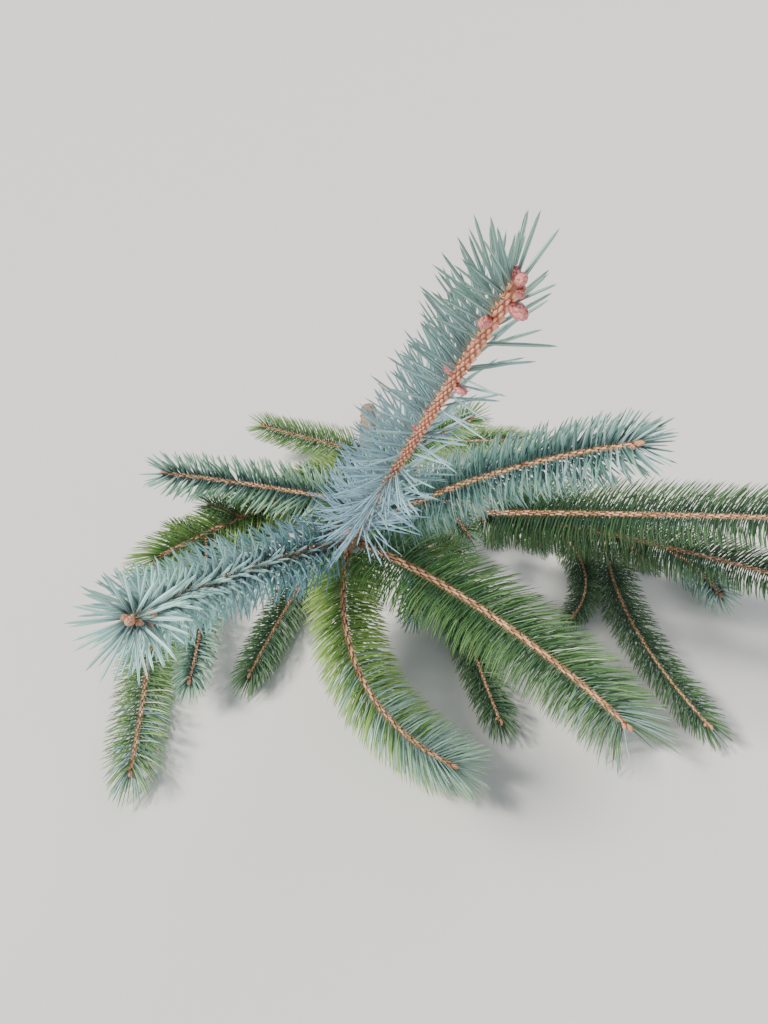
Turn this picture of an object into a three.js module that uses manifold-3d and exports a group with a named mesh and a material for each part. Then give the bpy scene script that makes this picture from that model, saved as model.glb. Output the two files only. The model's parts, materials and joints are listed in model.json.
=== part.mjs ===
// A spruce branch, as cut, lying on its underside. Millimetres, +Z up.
// The cut end of the main stem points along +Y. The stem runs towards -Y and rises to a whorl,
// from which the leader and four young shoots leave. Older twigs and their shoots spread below
// and behind the whorl and rest on their needle tips.

import * as THREE from 'three';
import { mergeVertices } from 'three/addons/utils/BufferGeometryUtils.js';
import Module from 'manifold-3d';

const wasm = await Module();
wasm.setup();

// Driving dimensions

const CUT_RADIUS = 5.6;          // main stem at the cut
const WHORL_RADIUS = 3.6;        // main stem where the whorl leaves it
const KNUCKLE_RADIUS = 4.3;      // swelling that carries the whorl
const STEM_LENGTH = 232;
const CUT_CENTRE = new THREE.Vector3(6, 222, CUT_RADIUS);
const STEM_SIDES = 12;

const SHOOT_SIDES = 5;
const STEP_LENGTH = 16;          // one ring of a shoot's core for each of these
const GAP = 0.3;                 // clear space between neighbouring solids
const MERGE_DISTANCE = 0.002;    // corners this close count as one
const WELD_DISTANCE = 0.0001;

const GOLDEN_ANGLE = THREE.MathUtils.degToRad(137.508);
const NEEDLE_SPACING = 4.8;      // along the shoot; each needle stands for a dozen real ones
const NEEDLE_WIDTH = 3.4;
const NEEDLE_THICKNESS = 1.2;
const NEEDLE_SHOULDER = 0.36;     // a needle is widest at this share of its length
const NEEDLE_VARIATION = 0.09;   // share of its length that a needle may gain or lose
const TIP_NEEDLE_SHARE = 0.65;   // the last needle's length as a share of the first one's
const ROOT_DEPTH = 0.8;          // how far past the middle of the core a needle's root is sunk
const BARE_FOOT = 7;             // length without needles where a shoot leaves its parent
const SPREAD_AT_FOOT = 66;       // degrees between needle and shoot
const SPREAD_AT_HEAD = 46;
const SPREAD_AT_TIP = 20;
const TUFT_START = 0.88;         // share of the shoot after which the needles close to a tuft

const VARIATION_STEP = 12.9898;  // an odd step and a large factor scatter the variation evenly
const VARIATION_FACTOR = 43758.5453;

const BUD_LENGTH = 5;
const BUD_RADIUS = 1.7;
const SIDE_BUD_SIZE = 0.8;       // share of the tip bud's size
const BUD_SUNK = 0.35;           // share of its length that a bud is sunk into its shoot

const BARK = { color: 0x8a6a4a, roughness: 0.85, metalness: 0 };
const BLUE_NEEDLES = { color: 0x7d95a0, roughness: 0.6, metalness: 0 };
const GREEN_NEEDLES = { color: 0x5c7a4a, roughness: 0.55, metalness: 0 };
const DEEP_NEEDLES = { color: 0x40603a, roughness: 0.55, metalness: 0 };

// Every shoot in growing order: what it grows from, at which share of that parent's length, the
// direction it leaves in and the one it ends in as [compass angle from +X, rise above level] in
// degrees, its length, its radius at foot and tip, and its needles: their length, how many
// degrees to each side of the top stay clear of them, the last one's share of that length where
// it isn't the usual one, and their finish. A twig with no needles is older wood.

const SHOOTS = [
  { name: 'leader_shoot', parent: 'main_stem', at: 1, from: [-60, 53], to: [-88, 39], length: 219,
    radii: [2.1, 1.7], needles: { length: 24, parting: 20, tipShare: 0.5, finish: BLUE_NEEDLES },
    sideBuds: [0.52, 0.9] },
  { name: 'upper_right_shoot', parent: 'main_stem', at: 0.95, from: [-24, 43], to: [-49, 30], length: 146,
    radii: [1.7, 1.2], needles: { length: 18, parting: 30, finish: BLUE_NEEDLES } },
  { name: 'lower_right_shoot', parent: 'main_stem', at: 0.985, from: [-33, -1], to: [-33, -31], length: 138,
    radii: [1.8, 1.3], needles: { length: 23, parting: 40, finish: DEEP_NEEDLES } },
  { name: 'lower_shoot', parent: 'main_stem', at: 0.965, from: [-108, -38], to: [-36, 8], length: 128,
    radii: [1.5, 1.1], needles: { length: 18, parting: 40, finish: GREEN_NEEDLES } },
  { name: 'left_front_shoot', parent: 'main_stem', at: 0.975, from: [-129, 19], to: [-86, 34], length: 161,
    radii: [1.7, 1.3], needles: { length: 19, parting: 0, finish: BLUE_NEEDLES } },
  { name: 'right_twig', parent: 'main_stem', at: 0.62, from: [-24, 17], to: [-61, 18], length: 87,
    radii: [2.2, 1.8] },
  { name: 'right_long_shoot', parent: 'right_twig', at: 1, from: [-21, 14], to: [-20, 11], length: 141,
    radii: [1.6, 1.1], needles: { length: 19, parting: 40, finish: DEEP_NEEDLES } },
  { name: 'right_middle_shoot', parent: 'right_twig', at: 0.9, from: [-10, -4], to: [-23, -4], length: 151,
    radii: [1.5, 1.1], needles: { length: 17, parting: 40, finish: DEEP_NEEDLES } },
  { name: 'left_back_shoot', parent: 'main_stem', at: 0.68, from: [154, -5], to: [189, 14], length: 112,
    radii: [1.4, 1.1], needles: { length: 18, parting: 30, finish: BLUE_NEEDLES } },
  { name: 'left_low_twig', parent: 'main_stem', at: 0.4, from: [-147, -1], to: [-136, -2], length: 137,
    radii: [2, 1.4], needles: { length: 13, parting: 45, finish: GREEN_NEEDLES } },
  { name: 'left_floor_shoot', parent: 'left_low_twig', at: 1, from: [-77, -2], to: [-83, 1], length: 130,
    radii: [1.3, 1], needles: { length: 17, parting: 40, finish: GREEN_NEEDLES } },
  { name: 'left_inner_shoot', parent: 'left_low_twig', at: 0.78, from: [-78, -3], to: [-86, 8], length: 111,
    radii: [1.2, 1], needles: { length: 14, parting: 30, finish: BLUE_NEEDLES } },
  { name: 'right_low_twig', parent: 'main_stem', at: 0.34, from: [-52, 1], to: [-5, -2], length: 188,
    radii: [2.4, 1.6] },
  { name: 'right_floor_shoot', parent: 'right_low_twig', at: 0.86, from: [-101, -1], to: [-68, 0],
    length: 128, radii: [1.2, 1], needles: { length: 14, parting: 40, finish: DEEP_NEEDLES } },
  { name: 'inner_floor_shoot', parent: 'right_low_twig', at: 0.72, from: [-60, -4], to: [-128, 1], length: 75,
    radii: [1.1, 1], needles: { length: 12, parting: 40, finish: DEEP_NEEDLES } },
  { name: 'right_end_shoot', parent: 'right_low_twig', at: 1, from: [-46, 2], to: [-89, 3], length: 50,
    radii: [1.2, 1], needles: { length: 15, parting: 30, finish: GREEN_NEEDLES } },
  { name: 'lower_twig', parent: 'main_stem', at: 0.5, from: [-58, -4], to: [-58, -4], length: 87,
    radii: [1.9, 1.5] },
  { name: 'middle_floor_shoot', parent: 'lower_twig', at: 1, from: [-85, -6], to: [-79, 2], length: 94,
    radii: [1.2, 1], needles: { length: 14, parting: 40, finish: DEEP_NEEDLES } },
  { name: 'middle_inner_shoot', parent: 'lower_twig', at: 0.8, from: [-101, 6], to: [-101, 6], length: 56,
    radii: [1.1, 1], needles: { length: 14, parting: 30, finish: BLUE_NEEDLES } },
  { name: 'left_middle_shoot', parent: 'main_stem', at: 0.53, from: [-114, -9], to: [-104, 0], length: 143,
    radii: [1.4, 1], needles: { length: 15, parting: 40, finish: DEEP_NEEDLES } },
  { name: 'upper_back_shoot', parent: 'main_stem', at: 0.45, from: [-17, 37], to: [-17, 37], length: 77,
    radii: [1.3, 1], needles: { length: 16, parting: 30, finish: GREEN_NEEDLES } },
  { name: 'back_left_shoot', parent: 'main_stem', at: 0.3, from: [173, 13], to: [173, 13], length: 68,
    radii: [1.3, 1], needles: { length: 15, parting: 35, finish: GREEN_NEEDLES } },
  { name: 'back_right_shoot', parent: 'main_stem', at: 0.22, from: [-9, 6], to: [-9, 6], length: 99,
    radii: [1.4, 1], needles: { length: 15, parting: 35, finish: GREEN_NEEDLES } },
];

// Routes

function heading([compass, rise]) {
  const azimuth = THREE.MathUtils.degToRad(compass);
  const lift = THREE.MathUtils.degToRad(rise);
  return new THREE.Vector3(
    Math.cos(azimuth) * Math.cos(lift), Math.sin(azimuth) * Math.cos(lift), Math.sin(lift));
}

// One smooth bend: three equal legs, which point along the first heading, the mean and the last.
function routeFrom(start, from, to, length) {
  const first = heading(from);
  const last = heading(to);
  const mean = first.clone().add(last).normalize();
  const leg = length / 3;
  const knee = start.clone().addScaledVector(first, leg);
  const neck = knee.clone().addScaledVector(mean, leg);
  const end = neck.clone().addScaledVector(last, leg);
  return new THREE.CubicBezierCurve3(start.clone(), knee, neck, end);
}

// Where a route stands at share t: its centre, the way it runs, its level side and its top.
function stationOn(route, t) {
  const along = route.getTangent(t);
  const side = new THREE.Vector3().crossVectors(along, new THREE.Vector3(0, 0, 1)).normalize();
  const top = new THREE.Vector3().crossVectors(side, along);
  return { centre: route.getPoint(t), along, side, top };
}

// Closed bodies

function solidOf(geometry) {
  geometry.deleteAttribute('normal');
  geometry.deleteAttribute('uv');
  const merged = mergeVertices(geometry, WELD_DISTANCE);
  return new wasm.Manifold(new wasm.Mesh({
    numProp: 3,
    vertProperties: new Float32Array(merged.attributes.position.array),
    triVerts: new Uint32Array(merged.index.array),
  }));
}

function geometryOf(solid) {
  const { vertProperties, triVerts } = solid.getMesh();
  const geometry = new THREE.BufferGeometry();
  geometry.setAttribute('position', new THREE.BufferAttribute(vertProperties, 3));
  geometry.setIndex(new THREE.BufferAttribute(triVerts, 1));
  geometry.computeVertexNormals();
  return geometry;
}

// The outer skin alone: loose scraps are dropped and sealed pockets are filled.
function largestBody(solid) {
  return solid.decompose().reduce((best, body) => (body.volume() > best.volume() ? body : best));
}

// Whether every edge still joins two faces once the corners that nearly touch are one.
function isSound(solid) {
  const { index } = mergeVertices(geometryOf(solid).deleteAttribute('normal'), MERGE_DISTANCE);
  const uses = new Map();
  for (let face = 0; face < index.count; face += 3) {
    const corners = [0, 1, 2].map((step) => index.getX(face + step));
    if (new Set(corners).size < 3) continue;
    for (const [step, corner] of corners.entries()) {
      const edge = [corner, corners[(step + 1) % 3]].sort((a, b) => a - b).join();
      uses.set(edge, (uses.get(edge) ?? 0) + 1);
    }
  }
  return [...uses.values()].every((count) => count === 2);
}

// Fuses a piece on, unless that would leave a pinched seam.
function fuse(mass, piece) {
  const grown = largestBody(mass.add(piece));
  return isSound(grown) ? grown : mass;
}

function moveVertices(geometry, place) {
  const position = geometry.attributes.position;
  const vertex = new THREE.Vector3();
  for (let i = 0; i < position.count; i += 1) {
    vertex.fromBufferAttribute(position, i);
    place(vertex);
    position.setXYZ(i, vertex.x, vertex.y, vertex.z);
  }
  return geometry;
}

// A tapering limb: a cylinder whose rings are carried along the route.
function limb(route, [footRadius, tipRadius], sides, steps, grow = 0) {
  const cylinder = new THREE.CylinderGeometry(1, 1, 1, sides, steps);
  return solidOf(moveVertices(cylinder, (vertex) => {
    const { x: across, y: height, z: up } = vertex;
    const share = height + 0.5;
    const radius = THREE.MathUtils.lerp(footRadius, tipRadius, share) + grow;
    const { centre, side, top } = stationOn(route, share);
    vertex.copy(centre).addScaledVector(side, across * radius).addScaledVector(top, up * radius);
  }));
}

// A needle has three faces from its sunk root to its shoulder and three on to its point: flat
// above and keeled below.
function needle(root, direction, flat, length, grow = 0) {
  const edge = new THREE.Vector3().crossVectors(flat, direction).normalize();
  const above = new THREE.Vector3().crossVectors(direction, edge);
  const halfWidth = NEEDLE_WIDTH / Math.sqrt(3) + grow;
  const halfThickness = NEEDLE_THICKNESS * 2 / 3 + grow;
  const shoulder = length * NEEDLE_SHOULDER;
  return solidOf(moveVertices(new THREE.SphereGeometry(1, 3, 2), (vertex) => {
    const { x: through, y: along, z: across } = vertex;
    const reach = along < 0 ? along * (shoulder + ROOT_DEPTH) : along * (length - shoulder + grow);
    vertex.copy(root).addScaledVector(direction, shoulder + reach)
      .addScaledVector(edge, across * halfWidth).addScaledVector(above, through * halfThickness);
  }));
}

// A bud is an egg that stands in the shoot's bark.
function bud(foot, direction, size = 1) {
  const egg = new THREE.SphereGeometry(1, 6, 3);
  egg.scale(BUD_RADIUS * size, BUD_LENGTH / 2 * size, BUD_RADIUS * size);
  egg.translate(0, BUD_LENGTH * (0.5 - BUD_SUNK) * size, 0);
  egg.applyQuaternion(new THREE.Quaternion().setFromUnitVectors(new THREE.Vector3(0, 1, 0), direction));
  return solidOf(egg.translate(foot.x, foot.y, foot.z));
}

// Needles

// A number between -1 and 1 that is always the same for one needle.
function variation(index) {
  const wave = Math.sin((index + 1) * VARIATION_STEP) * VARIATION_FACTOR;
  return 2 * (wave - Math.floor(wave)) - 1;
}

// The spread between needle and shoot: wide at the foot, narrower ahead, closed at the tip.
function spreadAt(share) {
  const open = THREE.MathUtils.lerp(SPREAD_AT_FOOT, SPREAD_AT_HEAD, share);
  const closing = THREE.MathUtils.smoothstep(share, TUFT_START, 1);
  return THREE.MathUtils.degToRad(THREE.MathUtils.lerp(open, SPREAD_AT_TIP, closing));
}

// The needles stand on a spiral. The ones near the top are combed to the two sides.
function combed(turn, parting) {
  const angle = Math.atan2(Math.sin(turn), Math.cos(turn));
  const kept = 1 - parting / 180;
  return Math.sign(angle) * (THREE.MathUtils.degToRad(parting) + Math.abs(angle) * kept);
}

// A needle that would go below the ground plane lies down until its point just rests on it.
function laidOnGround(root, direction, length) {
  const lowest = -root.z / length;
  if (direction.z >= lowest) return direction;
  const level = Math.hypot(direction.x, direction.y);
  const stretch = Math.sqrt(1 - lowest * lowest) / level;
  return new THREE.Vector3(direction.x * stretch, direction.y * stretch, lowest);
}

function needlesOf(shoot) {
  const { length: firstLength, parting, tipShare = TIP_NEEDLE_SHARE } = shoot.needles;
  const bare = BARE_FOOT / shoot.length;
  const count = Math.round((shoot.length - BARE_FOOT) / NEEDLE_SPACING);
  return Array.from({ length: count }, (_, index) => {
    const share = bare + (1 - bare) * (index + 0.5) / count;
    const { centre, along, side, top } = stationOn(shoot.route, share);
    const turn = combed(index * GOLDEN_ANGLE, parting);
    const outward = top.clone().multiplyScalar(Math.cos(turn)).addScaledVector(side, Math.sin(turn));
    const spread = spreadAt(share);
    const direction = along.clone().multiplyScalar(Math.cos(spread))
      .addScaledVector(outward, Math.sin(spread));
    const usual = firstLength * THREE.MathUtils.lerp(1, tipShare, share);
    const length = usual * (1 + NEEDLE_VARIATION * variation(index));
    return { root: centre, direction: laidOnGround(centre, direction, length), flat: outward, length };
  });
}

// Shoots

const mainStem = {
  name: 'main_stem',
  route: routeFrom(CUT_CENTRE, [-90, 0], [-92, 26], STEM_LENGTH),
  radii: [CUT_RADIUS, WHORL_RADIUS],
  sides: STEM_SIDES,
  length: STEM_LENGTH,
};

function radiusAt(grown, share) {
  return THREE.MathUtils.lerp(grown.radii[0], grown.radii[1], share);
}

function coreOf(grown, grow = 0) {
  const steps = Math.ceil(grown.length / STEP_LENGTH);
  return limb(grown.route, grown.radii, grown.sides, steps, grow);
}

function knuckleOn(grown, radius) {
  const { x, y, z } = grown.route.getPoint(1);
  return solidOf(new THREE.SphereGeometry(radius, 12, 8).translate(x, y, z));
}

function mainStemSolid(grow = 0) {
  return coreOf(mainStem, grow).add(knuckleOn(mainStem, KNUCKLE_RADIUS + grow));
}

// Places every shoot on its parent, so that a change to a parent carries its shoots along.
function placeShoots() {
  const grown = new Map([[mainStem.name, mainStem]]);
  for (const shoot of SHOOTS) {
    const parent = grown.get(shoot.parent);
    const start = parent.route.getPoint(shoot.at);
    const route = routeFrom(start, shoot.from, shoot.to, shoot.length);
    grown.set(shoot.name, { ...shoot, parent, route, sides: SHOOT_SIDES });
  }
  grown.delete(mainStem.name);
  return [...grown.values()];
}

function growsOnAtTip(shoot) {
  return SHOOTS.some((other) => other.parent === shoot.name && other.at === 1);
}

function budsOf(shoot) {
  const tip = stationOn(shoot.route, 1);
  const buds = growsOnAtTip(shoot) ? [] : [bud(tip.centre, tip.along)];
  for (const share of shoot.sideBuds ?? []) {
    const { centre, along, side } = stationOn(shoot.route, share);
    for (const hand of [-1, 1]) {
      const direction = along.clone().addScaledVector(side, hand).normalize();
      const foot = centre.clone().addScaledVector(side, hand * radiusAt(shoot, share));
      buds.push(bud(foot, direction, SIDE_BUD_SIZE));
    }
  }
  return buds;
}

function boxesMeet(a, b) {
  return [0, 1, 2].every((axis) => a.min[axis] < b.max[axis] && b.min[axis] < a.max[axis]);
}

function boxed(solid) {
  return { solid, box: solid.boundingBox() };
}

function touches({ solid, box }, others) {
  return others.some((other) => boxesMeet(box, other.box) && !solid.intersect(other.solid).isEmpty());
}

function finishOf(shoot) {
  return shoot.needles ? shoot.needles.finish : BARK;
}

function meshOf(name, solid, finish) {
  const mesh = new THREE.Mesh(geometryOf(solid), new THREE.MeshStandardMaterial(finish));
  mesh.name = name;
  return mesh;
}

// Fuses on the needles that keep clear of the neighbours and, outside the core, of each other.
function massOn(shoot, core, neighbours) {
  const stem = budsOf(shoot).reduce(fuse, core);
  const standing = [];
  let mass = stem;
  for (const { root, direction, flat, length } of needlesOf(shoot)) {
    const clearance = needle(root, direction, flat, length, GAP);
    const outside = boxed(clearance.subtract(stem));
    if (touches(boxed(clearance), neighbours) || touches(outside, standing)) continue;
    standing.push(outside);
    mass = fuse(mass, needle(root, direction, flat, length));
  }
  return mass;
}

// Cuts each core clear of its parent, then grows the needles where the cores leave them room.
function growBranch() {
  const shoots = placeShoots();
  const fatStem = mainStemSolid(GAP);
  const fatCores = new Map(shoots.map((shoot) => [shoot.name, boxed(coreOf(shoot, GAP))]));
  const cores = new Map(shoots.map((shoot) => {
    const fatParent = shoot.parent === mainStem ? fatStem : fatCores.get(shoot.parent.name).solid;
    return [shoot.name, largestBody(coreOf(shoot).subtract(fatParent))];
  }));

  const branch = new THREE.Group();
  branch.add(meshOf(mainStem.name, mainStemSolid(), BARK));
  const finished = [];
  for (const shoot of shoots) {
    const others = shoots.filter((other) => other !== shoot).map((other) => fatCores.get(other.name));
    const core = cores.get(shoot.name);
    const solid = shoot.needles ? massOn(shoot, core, [boxed(fatStem), ...others, ...finished]) : core;
    finished.push(boxed(solid));
    branch.add(meshOf(shoot.name, solid, finishOf(shoot)));
  }
  return branch;
}

// The origin is the middle of the branch's box, on the ground that it lies on. The shift is a
// whole number of thousandths.
function centred(branch) {
  const box = new THREE.Box3().setFromObject(branch, true);
  const middle = box.getCenter(new THREE.Vector3());
  branch.position.set(-middle.x, -middle.y, -box.min.z)
    .multiplyScalar(1000).round().divideScalar(1000);
  return branch;
}

export default centred(growBranch());
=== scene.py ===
# %% [markdown]
# A spruce branch, as cut.
# The branch lies on its underside on a pale floor. A woody stem runs from the cut end to a whorl,
# where a strong leader and four young shoots spread. Older twigs below and behind it carry more
# shoots. Each shoot is a thin stem wrapped in a spiral of cushions, with one needle on each.
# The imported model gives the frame: where the branch is cut, and how far its solids reach.

import json
import math
import random
from types import SimpleNamespace

import bmesh
import bpy
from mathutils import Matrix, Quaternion, Vector


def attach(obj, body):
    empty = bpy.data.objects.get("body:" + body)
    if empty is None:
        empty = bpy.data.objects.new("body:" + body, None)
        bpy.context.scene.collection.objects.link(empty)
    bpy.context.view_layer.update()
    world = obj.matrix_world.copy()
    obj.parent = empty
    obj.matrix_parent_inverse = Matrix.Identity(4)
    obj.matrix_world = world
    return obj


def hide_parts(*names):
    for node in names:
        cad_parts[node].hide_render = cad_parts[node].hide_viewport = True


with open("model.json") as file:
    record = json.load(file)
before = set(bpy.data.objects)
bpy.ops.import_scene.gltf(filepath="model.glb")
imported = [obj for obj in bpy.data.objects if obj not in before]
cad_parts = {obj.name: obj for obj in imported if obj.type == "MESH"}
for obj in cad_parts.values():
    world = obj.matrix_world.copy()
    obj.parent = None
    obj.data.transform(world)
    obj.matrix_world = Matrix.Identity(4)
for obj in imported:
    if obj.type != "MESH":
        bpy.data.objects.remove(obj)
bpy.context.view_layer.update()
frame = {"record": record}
MM = 0.001

# %% [markdown]
# Every limb follows one smooth bend. A Bezier curve with three equal legs does that: the first leg
# points where the limb sets out, the last where it ends, and the middle one halfway between.
# The same rule shapes the solids, so the bark and needles made here land on them.

# %% Routes


def heading(compass, rise):
    """The way a limb runs, from its compass angle and its rise above level, in degrees."""
    azimuth, lift = math.radians(compass), math.radians(rise)
    level = math.cos(lift)
    return Vector((math.cos(azimuth) * level, math.sin(azimuth) * level, math.sin(lift)))


def route_from(start, set_out, arrive, length):
    """The four control points of a smooth bend."""
    first, last = heading(*set_out), heading(*arrive)
    leg = length / 3
    knee = start + first * leg
    neck = knee + (first + last).normalized() * leg
    return start, knee, neck, neck + last * leg


def point_on(route, share):
    rest = 1 - share
    weights = rest ** 3, 3 * rest ** 2 * share, 3 * rest * share ** 2, share ** 3
    return sum((point * weight for point, weight in zip(route, weights)), Vector())


def along_on(route, share):
    rest = 1 - share
    weights = rest ** 2, 2 * rest * share, share ** 2
    legs = (b - a for a, b in zip(route, route[1:]))
    return sum((leg * weight for leg, weight in zip(legs, weights)), Vector()).normalized()


STEM_LENGTH = 232 * MM
CUT_RADIUS, WHORL_RADIUS = 5.6 * MM, 3.6 * MM
mounts = {mount["name"]: mount for mount in frame["record"]["mounts"]}
cut_centre = Vector(mounts["cut_end"]["pos_m"])
stem_route = route_from(cut_centre, (-90, 0), (-92, 26), STEM_LENGTH)
whorl = point_on(stem_route, 1)
print("the whorl stands", round(whorl.z / MM, 1), "mm above the floor")

# %% [markdown]
# The shoots, in growing order. Each row says what a shoot grows from and at which share of that
# parent, the way it sets out and arrives, its length, its stem's radius at foot and tip, and its
# needles: their length, how many degrees to each side of the top stay clear of them, their finish,
# and from about which share on they turn their blue face up. A twig with no needles is older wood.

# %% Shoots
BLUE, GREEN, DEEP = "blue_needles", "green_needles", "deep_needles"
SHOOTS = {
    "leader_shoot": ("main_stem", 1, (-64, 54.5), (-85.5, 38), 220, (2.1, 1.7), (24, 20, BLUE, 0)),
    "upper_right_shoot": ("main_stem", .95, (-24, 43), (-49, 30), 146, (1.7, 1.2), (18, 30, BLUE, .8)),
    "lower_right_shoot": ("main_stem", .985, (-33, -1), (-33, -31), 138, (1.8, 1.3), (23, 40, DEEP, .85)),
    "lower_shoot": ("main_stem", .965, (-108, -38), (-36, 8), 128, (1.5, 1.1), (18, 40, GREEN, .6)),
    "left_front_shoot": ("main_stem", .975, (-129, 19), (-86, 34), 165, (1.7, 1.3), (19, 0, BLUE, .3)),
    "right_twig": ("main_stem", .62, (-24, 17), (-61, 18), 87, (2.2, 1.8), None),
    "right_long_shoot": ("right_twig", 1, (-21, 14), (-20, 11), 141, (1.6, 1.1), (19, 40, DEEP, 1)),
    "right_middle_shoot": ("right_twig", .9, (-10, -4), (-23, -4), 151, (1.5, 1.1), (17, 40, DEEP, 1)),
    "left_back_shoot": ("main_stem", .68, (154, -5), (189, 14), 112, (1.4, 1.1), (18, 30, BLUE, .75)),
    "left_low_twig": ("main_stem", .4, (-147, -1), (-136, -2), 137, (2, 1.4), (13, 45, GREEN, 1)),
    "left_floor_shoot": ("left_low_twig", 1, (-77, -2), (-83, 1), 130, (1.3, 1), (17, 40, GREEN, .75)),
    "left_inner_shoot": ("left_low_twig", .78, (-78, -3), (-86, 8), 111, (1.2, 1), (14, 30, BLUE, .95)),
    "right_low_twig": ("main_stem", .34, (-52, 1), (-5, -2), 188, (2.4, 1.6), None),
    "right_floor_shoot": ("right_low_twig", .86, (-101, -1), (-68, 0), 128, (1.2, 1), (14, 40, DEEP, 1)),
    "inner_floor_shoot": ("right_low_twig", .72, (-60, -4), (-128, 1), 75, (1.1, 1), (12, 40, DEEP, 1)),
    "right_end_shoot": ("right_low_twig", 1, (-46, 2), (-89, 3), 50, (1.2, 1), (15, 30, BLUE, .5)),
    "lower_twig": ("main_stem", .5, (-58, -4), (-58, -4), 87, (1.9, 1.5), None),
    "middle_floor_shoot": ("lower_twig", 1, (-85, -6), (-79, 2), 94, (1.2, 1), (14, 40, DEEP, 1)),
    "middle_inner_shoot": ("lower_twig", .8, (-101, 6), (-101, 6), 56, (1.1, 1), (14, 30, BLUE, .7)),
    "left_middle_shoot": ("main_stem", .53, (-114, -9), (-104, 0), 143, (1.4, 1), (15, 40, DEEP, 1)),
    "upper_back_shoot": ("main_stem", .45, (-17, 37), (-17, 37), 77, (1.3, 1), (16, 30, GREEN, 1)),
    "back_left_shoot": ("main_stem", .3, (173, 13), (173, 13), 68, (1.3, 1), (15, 35, GREEN, 1)),
    "back_right_shoot": ("main_stem", .22, (-9, 6), (-9, 6), 99, (1.4, 1), (15, 35, GREEN, 1)),
}

routes = {"main_stem": stem_route}
for name, (parent, at, set_out, arrive, length, *_) in SHOOTS.items():
    routes[name] = route_from(point_on(routes[parent], at), set_out, arrive, length * MM)
print(len(routes) - 1, "shoots and twigs,", sum(row[4] for row in SHOOTS.values()) / 1000, "m in all")

# %% [markdown]
# The camera hangs in front of the whorl and above it, and looks down on the branch. A wide lens
# this close makes the leader, which points at it, run large towards the top of the picture.

# %% Camera
CAMERA_FROM_WHORL = Vector((14.7, -255.2, 193.5)) * MM
LOOKS_DOWN = 35
LENS, SENSOR_HEIGHT = 26, 36
NEAREST = 5 * MM


def placed(name, data):
    """A new object in the scene, at the origin."""
    made = bpy.data.objects.new(name, data)
    bpy.context.scene.collection.objects.link(made)
    return made


camera_data = bpy.data.cameras.new("camera")
camera_data.lens = LENS
camera_data.sensor_fit = "VERTICAL"
camera_data.sensor_height = SENSOR_HEIGHT
camera_data.clip_start = NEAREST
camera = placed("camera", camera_data)
camera.location = whorl + CAMERA_FROM_WHORL
camera.rotation_euler = math.radians(90 - LOOKS_DOWN), 0, 0
bpy.context.scene.camera = camera
print("the camera is", round(CAMERA_FROM_WHORL.length / MM), "mm from the whorl")

# %% [markdown]
# The floor is one pale sheet, wide enough that its edge lies far away. All three lamps are suns with
# broad discs: such a lamp is as even far off as near, so the floor stays pale to the horizon, and
# its shadows are soft. The warm key stands high on the left. A cool fill on the right opens the
# shadows, and a third behind makes the needles' edges stand out from the floor.

# %% Floor and lamps
FLOOR_HALF_WIDTH = 90
LAMPS = {   # where it stands, its strength, the width of its disc in degrees and its colour
    "key": ((-.95, -.3, 1.0), 5.4, 12, (1, .955, .88)),
    "fill": ((.95, -.75, .8), .4, 50, (.86, .93, 1)),
    "rim": ((.35, 1.1, .75), .9, 35, (1, .98, .94)),
}


def new_material(name):
    made = bpy.data.materials.new(name)
    made.use_nodes = True
    return made, made.node_tree, made.node_tree.nodes["Principled BSDF"]


def add_lamp(name, place, strength, width, colour):
    lamp_data = bpy.data.lights.new(name, "SUN")
    lamp_data.energy = strength
    lamp_data.angle = math.radians(width)
    lamp_data.color = colour
    lamp = placed(name, lamp_data)
    lamp.location = place
    lamp.rotation_mode = "QUATERNION"
    lamp.rotation_quaternion = (whorl - Vector(place)).to_track_quat("-Z", "Y")


corners = [(x * FLOOR_HALF_WIDTH, y * FLOOR_HALF_WIDTH, 0)
           for x, y in ((-1, -1), (1, -1), (1, 1), (-1, 1))]
floor_mesh = bpy.data.meshes.new("floor")
floor_mesh.from_pydata(corners, [], [(0, 1, 2, 3)])
floor_finish, _, shader = new_material("floor")
shader.inputs["Base Color"].default_value = (.80, .79, .76, 1)
shader.inputs["Roughness"].default_value = .9
floor_mesh.materials.append(floor_finish)
floor = placed("floor", floor_mesh)

for name, row in LAMPS.items():
    add_lamp(name, *row)

world = bpy.data.worlds.new("studio")
world.use_nodes = True
world.node_tree.nodes["Background"].inputs["Color"].default_value = (.86, .91, 1, 1)
world.node_tree.nodes["Background"].inputs["Strength"].default_value = .42
bpy.context.scene.world = world
print(len(LAMPS), "lamps")

# %% [markdown]
# Node trees are written with a few short helpers. A flow is what a node puts out, and a sum written
# with flows becomes nodes: a * b + 1 adds a Multiply and an Add node, and a > b is 1 where that is
# so and 0 elsewhere. So a formula in a tree reads like a formula in text. One helper adds any
# other kind of node and joins what feeds it.

# %% Helpers for node trees


class Flow:
    """What a node puts out. Its sums with numbers, vectors and other flows are nodes too."""

    def __init__(self, socket):
        self.socket, self.tree = socket, socket.id_data

    def __add__(self, other):
        return combined("ADD", self, other)

    def __radd__(self, other):
        return combined("ADD", other, self)

    def __sub__(self, other):
        return combined("SUBTRACT", self, other)

    def __rsub__(self, other):
        return combined("SUBTRACT", other, self)

    def __mul__(self, other):
        if is_vector(self) and not is_vector(other):
            feeds = {"Vector": self, "Scale": other}
            return add(self.tree, "ShaderNodeVectorMath", feeds, operation="SCALE")
        return combined("MULTIPLY", self, other)

    def __truediv__(self, other):
        return combined("DIVIDE", self, other)

    def __gt__(self, other):
        return combined("GREATER_THAN", self, other)

    def __lt__(self, other):
        return combined("LESS_THAN", self, other)

    def into(self, node, key=0):
        """Lets this flow feed a node, by the socket's number or name."""
        self.tree.links.new(self.socket, socket_of(node.inputs, key))


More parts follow.
